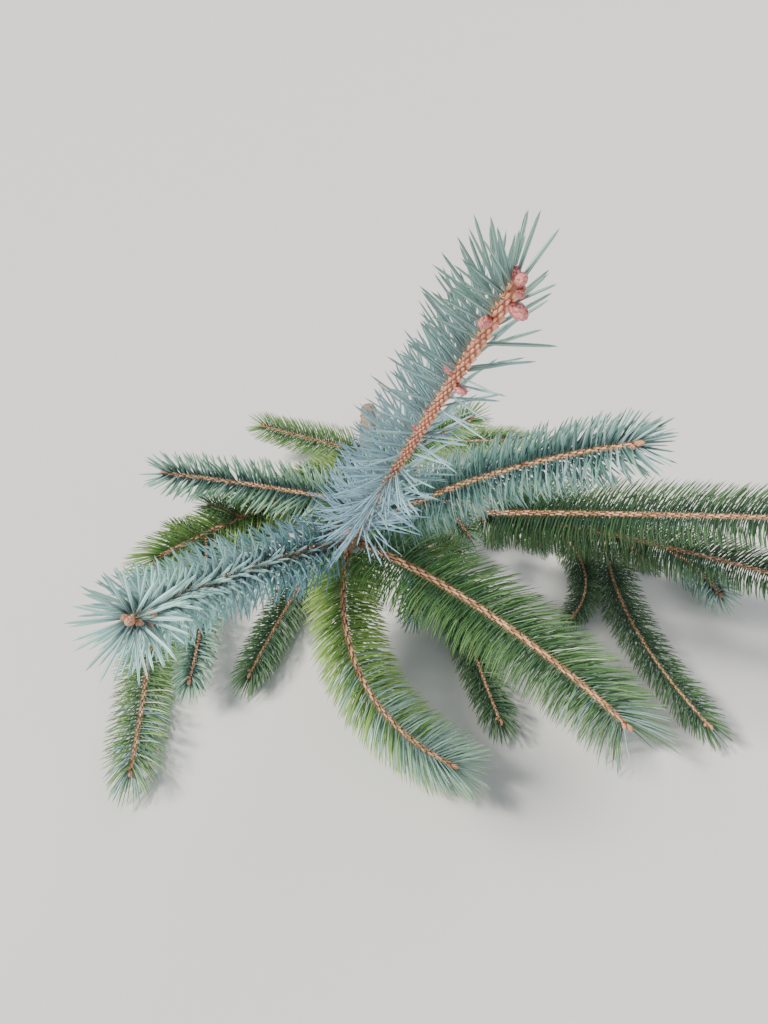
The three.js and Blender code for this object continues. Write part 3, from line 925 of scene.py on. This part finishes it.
def bark_tree():
    tree, given, last = open_tree("Bark of a young shoot", "GeometryNodeTree", {
        "geometry": ("Route",), "object": ("Cushion", "Scale"), "seed": ("Seed",),
        "number": ("Step", "Foot radius", "Tip radius", "Cushion length", "Cushion width",
                   "Collar from"),
        "material": ("Finish", "Scale finish"),
    }, {"geometry": ("Bark",)})
    spot, seed = spiral_on(given), given["Seed"]
    tube = tube_on(given, spot.radius, TUBE_STEP, TUBE_SIDES)
    out = around(spot, spot.turn)
    foot = here(tree) + out * spot.radius
    reach = maths("MINIMUM", spot.length, given["Cushion length"] * scattered(*CUSHION_REACH, seed, 0))
    size = joined(given["Cushion width"], reach / CUSHION_LENGTH, 1.0)
    # Each cushion draws how much painted notch shade it takes.
    cushions, notes = stood_on(
        spot.points, spot.length > MM, given["Cushion"], foot, spot.along, out, size,
        wear=("FLOAT", scattered(0.0, 1.0, seed, 100)))
    cushions = stored(cushions, "wear", notes["wear"], "INSTANCE")

    past = spot.length - given["Collar from"]
    in_collar = (past > 0.0) * (past < COLLAR_LENGTH)
    grow = scattered(*COLLAR_SIZES, seed, 600)
    scales, _ = stood_on(spot.points, in_collar, given["Scale"], foot,
                         spot.along + out * COLLAR_FLARE, out, joined(grow, grow, 1.0))
    woody = coated(together(tube, cushions), given["Finish"])
    together(woody, coated(scales, given["Scale finish"])).into(last)
    return tree


bark_along = bark_tree()
print("the young bark's tree has", len(bark_along.nodes), "nodes")

# %% [markdown]
# Old bark has real relief: its tube is fine enough for plates and cracks to be shaped by noise,
# drawn out along the limb. The stubs that the needles left still stand on it in their spiral. Its
# end swells to a knuckle where the next shoots leave.

# %% Geometry Nodes: bark of an old limb
PEG_LENGTH, PEG_RADIUS = .9 * MM, .42 * MM
PEG_SIDES = 5
PEG_RINGS = (-.5, 1.3), (.35, .95), (1, .55)   # share of the length and of the radius
OLD_TUBE_STEP, OLD_TUBE_SIDES = .9 * MM, 30
PLATE_STRETCH = 2.6   # how many times longer than wide a plate is
CRACK_WIDTH, PLATE_WEIGHT, ROUGH_WEIGHT = .22, .6, .4   # what plates and roughness add to relief
MEAN_LIFT = .6   # the bark's height that neither stands out nor sinks in
PEG_SIZES = .6, 1.2
PEG_LEAN, PEGS_FROM, PEGS_TO = .8, 2 * MM, .97   # they stop short of both ends
BARK_GAP = .05 * MM   # what stays free under the bark


def peg_object():
    """A blunt stub along +Y, sunk a little at its foot."""
    points, ridge = [], []
    for share, width in PEG_RINGS:
        for corner in range(PEG_SIDES):
            turn = 2 * math.pi * corner / PEG_SIDES
            points.append((math.cos(turn) * width * PEG_RADIUS, share * PEG_LENGTH,
                           math.sin(turn) * width * PEG_RADIUS))
            ridge.append(.55 + .45 * max(share, 0))
    corners = tuple(range(len(points)))
    faces = [*faces_between(len(PEG_RINGS), PEG_SIDES),
             corners[:PEG_SIDES], tuple(reversed(corners[-PEG_SIDES:]))]
    return shape_object("peg", points, faces, "relief", ridge)


peg = peg_object()


def old_bark_tree():
    tree, given, last = open_tree("Bark of an old limb", "GeometryNodeTree", {
        "geometry": ("Route",), "object": ("Peg",), "seed": ("Seed",), "material": ("Finish",),
        "number": ("Step", "Foot radius", "Tip radius", "Knuckle radius", "Plate length", "Relief"),
    }, {"geometry": ("Bark",)})
    spot, plate = spiral_on(given), given["Plate length"]
    tube = tube_on(given, spot.radius, OLD_TUBE_STEP, OLD_TUBE_SIDES)
    ball = add(tree, "GeometryNodeMeshIcoSphere", {
        "Radius": given["Knuckle radius"], "Subdivisions": 4})
    end = add(tree, "GeometryNodeSampleCurve", {
        "Curves": given["Route"], "Factor": 1.0}, "Position", mode="FACTOR")
    knuckle = smoothed(add(tree, "GeometryNodeTransform", {"Geometry": ball, "Translation": end}))

    squeezed = here(tree) / joined(plate, plate * PLATE_STRETCH, plate)
    plates = add(tree, "ShaderNodeTexVoronoi", {
        "Vector": squeezed, "Scale": 1.0, "Randomness": 1.0}, "Distance",
        feature="DISTANCE_TO_EDGE")
    rough = add(tree, "ShaderNodeTexNoise", {"Vector": squeezed, "Scale": 2.5, "Detail": 4.0})
    lift = ramped(plates, 0.0, CRACK_WIDTH) * PLATE_WEIGHT + rough * ROUGH_WEIGHT
    height = (lift - MEAN_LIFT) * given["Relief"]
    limb = moved(stored(together(tube, knuckle), "relief", lift, "POINT"),
                 Offset=add(tree, "GeometryNodeInputNormal") * height)

    out = around(spot, spot.turn)
    grow = scattered(*PEG_SIZES, given["Seed"], 0)
    off_ends = (spot.length > PEGS_FROM) * (spot.share < PEGS_TO)
    pegs, _ = stood_on(spot.points, off_ends, given["Peg"], here(tree) + out * spot.radius,
                       out + spot.along * PEG_LEAN, spot.along, joined(grow, grow, grow))
    coated(above(realized(together(limb, pegs)), BARK_GAP), given["Finish"]).into(last)
    return tree


old_bark_along = old_bark_tree()
print("the old bark's tree has", len(old_bark_along.nodes), "nodes")

# %% [markdown]
# A bud is an egg with a pointed head, shingled with scales. The tree sets the scales on the egg by
# the golden angle again, from its foot to its head, each lying along the egg's slope.

# %% Geometry Nodes: bud
BUD_LENGTH, BUD_RADIUS = 5.4 * MM, 1.6 * MM
BUD_SCALES = 30
FIRST_SCALE, LAST_SCALE = math.radians(140), math.radians(14)   # down from the egg's head
SCALES_TUCKED = .2   # how far the scales lean into the egg
LEAST_SCALE, WAIST_ADDS = .35, .7   # a scale's size at the very head, and what the waist adds


def bud_tree():
    tree, given, last = open_tree("Bud", "GeometryNodeTree", {
        "geometry": ("Host",), "object": ("Scale",), "seed": ("Scales",),
        "number": ("Length", "Radius"), "material": ("Finish",),
    }, {"geometry": ("Bud",)})
    radius, half = given["Radius"], given["Length"] * .5
    ball = add(tree, "GeometryNodeMeshUVSphere", {"Segments": 12, "Rings": 8, "Radius": 1.0})
    egg = add(tree, "GeometryNodeTransform", {
        "Geometry": ball, "Scale": joined(radius, radius, half), "Translation": upward(half)})
    points = add(tree, "GeometryNodePoints", {"Count": given["Scales"]})
    index = add(tree, "GeometryNodeInputIndex")
    share, turn = index / given["Scales"], index * GOLDEN_ANGLE
    down = even(share, FIRST_SCALE, LAST_SCALE)
    level, upright = maths("SINE", down), maths("COSINE", down)
    ring = joined(maths("COSINE", turn), maths("SINE", turn), 0.0)
    foot = ring * (level * radius) + upward(upright * half + half)
    face = vectors("NORMALIZE", ring * (level / radius) + upward(upright / half))
    climb = vectors("NORMALIZE", upward(level * half) - ring * (upright * radius))
    grow = level * WAIST_ADDS + LEAST_SCALE
    scales, _ = stood_on(points, share > -1.0, given["Scale"], foot,
                         climb - face * SCALES_TUCKED, face, joined(grow, grow, 1.0))
    coated(together(smoothed(egg), scales), given["Finish"]).into(last)
    return tree


bud_shape = bud_tree()
print("the bud's tree has", len(bud_shape.nodes), "nodes")

# %% [markdown]
# Growing a piece: an object follows the route, the tree grows on it as a modifier, and the result
# is kept as a plain mesh. The route goes, so that only the finished piece stays.

# %% Grow a piece
IN_DEGREES = "Parting at foot", "Parting", "Keel", "Lean on the right"


def route_curve(name, *ways):
    """A curve with one Bezier spline for each route, from the route's own points."""
    curve = bpy.data.curves.new(name, "CURVE")
    curve.dimensions = "3D"
    curve.resolution_u = 32
    for start, knee, neck, end in ways:
        ends = curve.splines.new("BEZIER").bezier_points
        ends.add(1)
        for point in ends:
            point.handle_left_type = point.handle_right_type = "FREE"
        ends[0].co, ends[0].handle_right, ends[0].handle_left = start, knee, 2 * start - knee
        ends[1].co, ends[1].handle_left, ends[1].handle_right = end, neck, 2 * end - neck
    return curve


def for_tree(name, value):
    """Turns a value of the tables into what a tree takes: a finish, or angles in radians."""
    if isinstance(value, str):
        return finishes[value]
    if isinstance(value, tuple):
        return [math.radians(part) for part in value]
    return math.radians(value) if name in IN_DEGREES else value


def grown(name, host_data, tree, values):
    """The plain mesh that a tree makes on a host."""
    host = placed(name + "_host", host_data)
    modifier = host.modifiers.new("grow", "NODES")
    modifier.node_group = tree
    for item in tree.interface.items_tree:
        if item.in_out == "INPUT" and item.name in values:
            modifier[item.identifier] = for_tree(item.name, values[item.name])
    graph = bpy.context.evaluated_depsgraph_get()
    mesh = bpy.data.meshes.new_from_object(
        host.evaluated_get(graph), preserve_all_data_layers=True, depsgraph=graph)
    mesh.name = name
    bpy.data.objects.remove(host)
    return mesh


def triangles_in(mesh):
    return sum(len(face.vertices) - 2 for face in mesh.polygons)


triangles = {}


def finished_piece(name, mesh, slot, node):
    """Shows a mesh as a piece of the branch that stands for this solid."""
    piece = placed(name, mesh)
    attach(piece, "root")
    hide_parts(node)
    triangles[name] = triangles_in(mesh)


bud_mesh = grown("bud", bpy.data.meshes.new("bud_host"), bud_shape, {
    "Scale": bud_scale, "Scales": BUD_SCALES, "Length": BUD_LENGTH, "Radius": BUD_RADIUS,
    "Finish": "buds"})
print("a bud has", triangles_in(bud_mesh), "triangles")

# %% [markdown]
# Buds crown each shoot: a strong one at the tip with two smaller ones beside it, which become next
# year's whorl. The strongest shoots also bear buds along their stems.

# %% Set the buds
STEM_BUDS = {   # share of the stem, turn from the top in degrees, and size
    "leader_shoot": ((.77, -78, .72), (.745, 70, .72), (.63, -80, .4), (.56, -75, .45),
                     (.925, -24, .66), (.965, 64, .8)),
    "left_front_shoot": ((.955, -20, .85), (.94, -75, .7)),
}
CROWN_TURNS = {"left_front_shoot": -50}   # where the first bud beside the tip stands, if not at 45
CROWN_TILT = math.radians(48)
CROWN_COUNT, CROWN_SHARE = 2, .72   # the smaller buds, and their size as a share of the tip bud's
CROWN_DOWN, CROWN_OUT = 1.6, .4   # mm down from the tip, and the share of the radius out from it
TIP_BUD_SUNK = .78 * MM
BUD_OUT, BUD_LEAN = .9, .75   # mm from the middle of the stem, and how far it leans along it


def set_buds(name, node, places, finish):
    """One piece of many buds, each turned so that its +Z points along a given way."""
    gathered = bmesh.new()
    for place, way, roll, size in places:
        turned = way.to_track_quat("Z", "Y") @ Quaternion((0, 0, 1), roll)
        before = len(gathered.verts)
        gathered.from_mesh(bud_mesh)
        gathered.verts.ensure_lookup_table()
        for vertex in gathered.verts[before:]:
            vertex.co = place + turned @ (vertex.co * size)
    mesh = bpy.data.meshes.new(name)
    gathered.to_mesh(mesh)
    gathered.free()
    mesh.materials.append(finishes[finish])
    finished_piece(name, mesh, "buds", node)


def leant(way, other, angle):
    """A way turned by an angle towards another that stands square to it."""
    return way * math.cos(angle) + other * math.sin(angle)


def directions_on(route, share, turn):
    """The way along a route, and the way out from it at a turn from its top."""
    along = along_on(route, share)
    side = along.cross(OPEN_SIDE - point_on(route, share)).normalized()
    return along, leant(side.cross(along), side, turn)


def crown_of(name, radius, size):
    """The tip bud and the smaller ones round it."""
    route, first_turn = routes[name], CROWN_TURNS.get(name, 45)
    tip, along = route[3], along_on(route, 1)
    yield tip - along * TIP_BUD_SUNK, along, 0, size
    for number in range(CROWN_COUNT):
        turn = math.radians(first_turn + number * 360 / CROWN_COUNT)
        along, out = directions_on(route, 1, turn)
        foot = tip - along * CROWN_DOWN * MM + out * radius * CROWN_OUT
        yield foot, leant(along, out, CROWN_TILT), turn, size * CROWN_SHARE


def buds_along(name):
    """Buds on a shoot's stem."""
    for share, turn, size in STEM_BUDS.get(name, ()):
        along, out = directions_on(routes[name], share, math.radians(turn))
        foot = point_on(routes[name], share) + out * BUD_OUT * MM
        yield foot, (along * BUD_LEAN + out).normalized(), turn, size


print(sum(len(rows) for rows in STEM_BUDS.values()), "buds stand on the stems")

# %% [markdown]
# What a shoot needs is now at hand. One recipe dresses the usual shoot, and a table says what is
# different on some: the leader is sparse and coarse, and the front shoot is as round as a brush.
# Flat shoots turn the faces of their needles up. A bare stem is thinner than its solid, which
# takes in the needles' feet. Older wood gets its relief from its own radius.

# %% Dress the shoots
CUSHION_STEP, OLD_STEP = .72 * MM, 1.1 * MM
STEM_SHARE = .8   # the bare stem's radius as a share of the solid's, which takes in its needles' feet
THIN, THICK = .55, .92
STEM_SHARES = {
    "upper_right_shoot": .68, "right_floor_shoot": THIN, "inner_floor_shoot": THIN,
    "middle_floor_shoot": THIN, "left_middle_shoot": THIN, "right_middle_shoot": .68,
    "left_inner_shoot": THIN, "lower_right_shoot": THICK, "lower_shoot": THICK,
}
KNUCKLE_RADIUS, TWIG_RADIUS = 4.3 * MM, 1.9 * MM   # the whorl's swelling, and a usual twig
COMBED_FROM = 15   # degrees of parting past which a shoot is flat and turns its needles' faces up
FLAT_PARTING, FLAT_KEEL, FLAT_FACE_UP = 12, 8, .85   # what a flat shoot adds to the others'
PAST_DRAWS = .4   # a little more than TURN_DRAW
CUSHION_SHARE = 1.6   # a cushion's length as a share of its stem's width
LEAST_WIDTH, RADIUS_ADDS = .45, .45   # a cushion's width, and what each mm of the radius adds
LEAST_PLATE, PLATE_SHARE, RELIEF_SHARE = 1.1 * MM, .38, .16   # shares of the limb's radius
USUAL = {   # angles are in degrees, and the spread's are at the foot, the head and the very tip
    "Step": .14 * MM, "Bare foot": 7 * MM, "Tip share": .65, "Uneven": .08, "Width": .66,
    "Stray": .07, "Lean on the right": 0, "Spread": (74, 60, 28), "Tuft start": .92, "Sweep": .26,
    "Sag": .04, "Lost": 0.0, "Lost on the right": 0.0, "Floor": 1.4 * MM,
}
UNLIKE = {   # what is different on some shoots
    "leader_shoot": {
        "Step": .22 * MM, "Width": .9, "Tip share": .5, "Sweep": .08, "Stray": .2, "Uneven": .16,
        "Bare foot": 12 * MM, "Spread": (74, 48, 32), "Parting at foot": 0, "Parting": 62,
        "Lost": .3, "Lost on the right": .6, "Lean on the right": 18, "Face up": 0.0,
        "Finish": "leader_needles"},
    "left_front_shoot": {
        "Step": .25 * MM, "Width": 1.1, "Length": 22.5 * MM, "Tip share": .62, "Sweep": .03,
        "Stray": .1, "Spread": (48, 50, 64), "Tuft start": .8, "Finish": "sunlit_silver_needles"},
    "upper_right_shoot": {
        "Step": .16 * MM, "Width": .95, "Sweep": .15, "Stray": .2, "Spread": (66, 54, 28),
        "Lean on the right": -26},
    "lower_right_shoot": {
        "Step": .125 * MM, "Sweep": .3, "Tip share": .75, "Stray": .1, "Spread": (72, 62, 30),
        "Lean on the right": -38, "Finish": "fresh_needles"},
    "lower_shoot": {
        "Step": .115 * MM, "Sweep": .16, "Tip share": .8, "Keel": 30, "Spread": (92, 66, 46),
        "Tuft start": .85, "Lean on the right": 20, "Finish": "sunlit_needles"},
    "right_long_shoot": {
        "Width": .62, "Sweep": .34, "Spread": (80, 70, 28), "Lean on the right": -36},
    "right_middle_shoot": {
        "Width": .62, "Sweep": .3, "Spread": (74, 66, 28), "Lean on the right": -30},
    "left_back_shoot": {
        "Step": .28 * MM, "Width": 1.3, "Length": 20 * MM, "Sweep": .1, "Stray": .3,
        "Finish": "frosty_needles"},
    "left_low_twig": {
        "Width": .8, "Length": 17 * MM, "Stray": .16, "Tip share": .85,
        "Finish": "sunlit_needles"},
    "left_inner_shoot": {
        "Step": .2 * MM, "Width": .9, "Stray": .15, "Finish": "frosty_needles"},
    "left_floor_shoot": {"Step": .18 * MM, "Spread": (84, 74, 28), "Stray": .12},
    "right_end_shoot": {
        "Step": .26 * MM, "Width": 1.0, "Stray": .2, "Finish": "frosty_needles"},
    "right_floor_shoot": {"Step": .2 * MM, "Stray": .12},
    "inner_floor_shoot": {"Step": .2 * MM, "Stray": .12},
    "middle_floor_shoot": {"Step": .18 * MM, "Stray": .12},
}
UNLIKE_BARK = {"leader_shoot": {
    "Step": .42 * MM, "Cushion length": 3.6 * MM, "Cushion width": .52, "Finish": "leader_bark"}}


def dress(name, node, ways, radii, seed, bark, needles, slot):
    """Young bark and needles on one or more routes."""
    curve = route_curve(name, *ways)
    stem = {"Foot radius": radii[0], "Tip radius": radii[1], "Seed": seed}
    mesh = grown(name + "_bark", curve, bark_along, {
        **stem, "Step": CUSHION_STEP, "Cushion": cushion, "Scale": bud_scale,
        "Scale finish": "bud_scales", **bark})
    finished_piece(name + "_bark", mesh, "young_bark", node)
    mesh = grown(name + "_needles", curve, needles_along, {
        **stem, **USUAL, "Needle": needle, "Finish": slot, **needles})
    finished_piece(name + "_needles", mesh, slot, node)


def past_draws(share):
    """Widens a share so that at 0 every needle is past it, and at 1 none, whatever is drawn."""
    return share * (1 + 2 * PAST_DRAWS) - PAST_DRAWS


def dress_young(name, seed):
    parent, _, _, _, _, radii, (needle_length, parting, finish, blue_from) = SHOOTS[name]
    stem_share = STEM_SHARES.get(name, STEM_SHARE)
    bare = [radius * stem_share * MM - CUSHION_HEIGHT for radius in radii]
    bark = {
        "Cushion length": CUSHION_SHARE * stem_share * sum(radii) * MM, "Finish": "young_bark",
        "Cushion width": LEAST_WIDTH + RADIUS_ADDS * bare[0] / MM,
        "Collar from": KNUCKLE_RADIUS if parent == "main_stem" else TWIG_RADIUS,
        **UNLIKE_BARK.get(name, {})}
    flat = parting > COMBED_FROM
    combing = parting + (FLAT_PARTING if flat else 0)
    dress(name, name, [routes[name]], bare, seed, bark, {
        "Length": needle_length * MM, "Parting at foot": combing, "Parting": combing,
        "Keel": FLAT_KEEL if flat else 0, "Face up": FLAT_FACE_UP if flat else 0.0,
        "Blue from": past_draws(blue_from), **UNLIKE.get(name, {})}, finish)


def dress_old(name, radii, knuckle, seed):
    mesh = grown(name + "_bark", route_curve(name, routes[name]), old_bark_along, {
        "Peg": peg, "Step": OLD_STEP, "Foot radius": radii[0], "Tip radius": radii[1],
        "Knuckle radius": knuckle, "Plate length": max(LEAST_PLATE, radii[0] * PLATE_SHARE),
        "Relief": radii[0] * RELIEF_SHARE, "Seed": seed, "Finish": "old_bark"})
    finished_piece(name + "_bark", mesh, "old_bark", name)


print(len(UNLIKE), "of", len(SHOOTS), "rows are unlike the usual")

# %% [markdown]
# Older wood isn't bare: short spurs stand on it, to its left and right in turn. They stay close to
# their limb, within the reach of the shoots round it. The spurs of one limb are the splines of one
# curve, so that the same trees dress them all at once.

# %% Spurs on the older limbs
SPUR_EVERY, SPUR_LENGTH = 13 * MM, 17 * MM
SPUR_TURNS, SPUR_TILT = (60, 115), math.radians(52)
SPUR_REACH = .8, 1.35   # the least and the most, as shares of the usual length
SPUR_RADII = .5 * MM, .4 * MM
SPUR_SCATTER, SPUR_BEND = .6, .5   # share of the way to the next, and the turn along the limb
SPUR_BUD, SPUR_BUD_SUNK = .42, .5   # its size, and mm into the tip
SPUR_LEAST_HEIGHT = 2.2 * MM
FIRST_SPUR_SEED = 40
SPURRED = {"main_stem": (.16, .78), "right_twig": (.2, .8), "right_low_twig": (.1, .95),
           "lower_twig": (.15, .9), "left_low_twig": (.1, .9)}
SPUR_BARK = {"Cushion length": 2.2 * MM, "Cushion width": .6, "Collar from": 2.4 * MM,
             "Finish": "twig_bark"}
SPUR_NEEDLES = {"Bare foot": 1.5 * MM, "Length": 9 * MM, "Tip share": .8, "Parting at foot": 30,
                "Parting": 30, "Keel": 0, "Face up": 1.0, "Tuft start": .8, "Blue from": 1.2}


def spur_routes(limb, chance):
    route = routes[limb]
    start, end = SPURRED[limb]
    length = sum((b - a).length for a, b in zip(route, route[1:]))
    count = int(length * (end - start) / SPUR_EVERY)
    for number in range(count):
        share = start + (end - start) * (number + chance.random() * SPUR_SCATTER) / count
        hand = 1 if number % 2 else -1
        along, out = directions_on(route, share, hand * math.radians(chance.uniform(*SPUR_TURNS)))
        way = leant(along, out, SPUR_TILT).normalized()
        foot = point_on(route, share)
        reach = SPUR_LENGTH * chance.uniform(*SPUR_REACH)
        later = (way + along * SPUR_BEND).normalized()
        knee, head = foot + way * reach / 3, foot + (way + later) * reach / 2
        for point in (knee, head):
            point.z = max(point.z, SPUR_LEAST_HEIGHT)
        yield foot, knee, head - later * reach / 3, head


def dress_spurs(limb, seed):
    ways = list(spur_routes(limb, random.Random(seed)))
    name = limb + "_spurs"
    dress(name, limb, ways, SPUR_RADII, seed, SPUR_BARK, SPUR_NEEDLES, DEEP)
    places = []
    for _, _, neck, head in ways:
        along = (head - neck).normalized()
        places.append((head - along * SPUR_BUD_SUNK * MM, along, 0, SPUR_BUD))
    set_buds(name + "_buds", limb, places, "bud_scales")
    return len(ways)


print(sum(dress_spurs(limb, FIRST_SPUR_SEED + number) for number, limb in enumerate(SPURRED)), "spurs")

# %% [markdown]
# With every part of the recipe at hand, the stem is dressed first and then each row of the table.
# Each row's number is its seed, so a shoot keeps its needles when another row changes. A shoot
# that nothing grows from gets a crown of buds, larger on a thicker tip.

# %% Dress the older wood and every shoot
STEM_SEED = 90
KNUCKLE_SHARE = 1.2   # of a twig's tip radius
LEADER_BUD = .6
TIP_BUD, MM_ADDS = .55, .6   # its size on a tip of 1 mm radius, and what each mm more adds
parents = {row[0] for row in SHOOTS.values()}
dress_old("main_stem", (CUT_RADIUS, WHORL_RADIUS), KNUCKLE_RADIUS, STEM_SEED)
for seed, (name, row) in enumerate(SHOOTS.items()):
    radii = [radius * MM for radius in row[5]]
    if row[6]:
        dress_young(name, seed)
    else:
        dress_old(name, radii, radii[1] * KNUCKLE_SHARE, seed)
    if row[6] and name not in parents:
        leads = name == "leader_shoot"
        size = LEADER_BUD if leads else TIP_BUD + MM_ADDS * (row[5][1] - 1)
        places = [*crown_of(name, radii[1], size), *buds_along(name)]
        set_buds(name + "_buds", name, places, "leader_buds" if leads else "buds")
print(sum(triangles.values()), "triangles, the most in one piece", max(triangles.values()))

# %% [markdown]
# The cut end shows the wood: a flat disc inside a ring of bark, with the year rings in its finish
# and in fine relief, for late wood stands a hair higher than early wood when a saw has passed.

# %% Cut face
CUT_SIDES, CUT_RINGS = 48, 28
WOOD_SHARE = .9
RING_RELIEF = .05 * MM
CUT_INSET, RIM_DEPTH = .25 * MM, 1.5 * MM


def cut_face():
    """Rings of points on the cut, closed by a rim that goes back into the stem."""
    disc = bmesh.new()
    middle = disc.verts.new(cut_centre + Vector((0, CUT_INSET, 0)))
    turns = [2 * math.pi * corner / CUT_SIDES for corner in range(CUT_SIDES)]
    rings = []
    for ring in range(1, CUT_RINGS + 1):
        share = ring / CUT_RINGS
        year = (share * YEAR_RINGS * WOOD_SHARE) % 1
        rise = CUT_INSET + RING_RELIEF * year ** 3
        edge = share * WOOD_SHARE * CUT_RADIUS
        spots = (Vector((math.cos(turn) * edge, rise, math.sin(turn) * edge)) for turn in turns)
        rings.append([disc.verts.new(cut_centre + spot) for spot in spots])
    rings.append([disc.verts.new(vertex.co - Vector((0, RIM_DEPTH, 0))) for vertex in rings[-1]])
    for corner in range(CUT_SIDES):
        after = (corner + 1) % CUT_SIDES
        disc.faces.new((middle, rings[0][corner], rings[0][after]))
        for inner, outer in zip(rings, rings[1:]):
            disc.faces.new((inner[corner], outer[corner], outer[after], inner[after]))
    disc.faces.new(reversed(rings[-1]))
    bmesh.ops.recalc_face_normals(disc, faces=disc.faces)
    mesh = bpy.data.meshes.new("cut_face")
    disc.to_mesh(mesh)
    disc.free()
    mesh.materials.append(finishes["cut_wood"])
    return mesh


finished_piece("cut_face", cut_face(), "cut_wood", "main_stem")
print("the cut is", round(2 * CUT_RADIUS / MM, 1), "mm across")
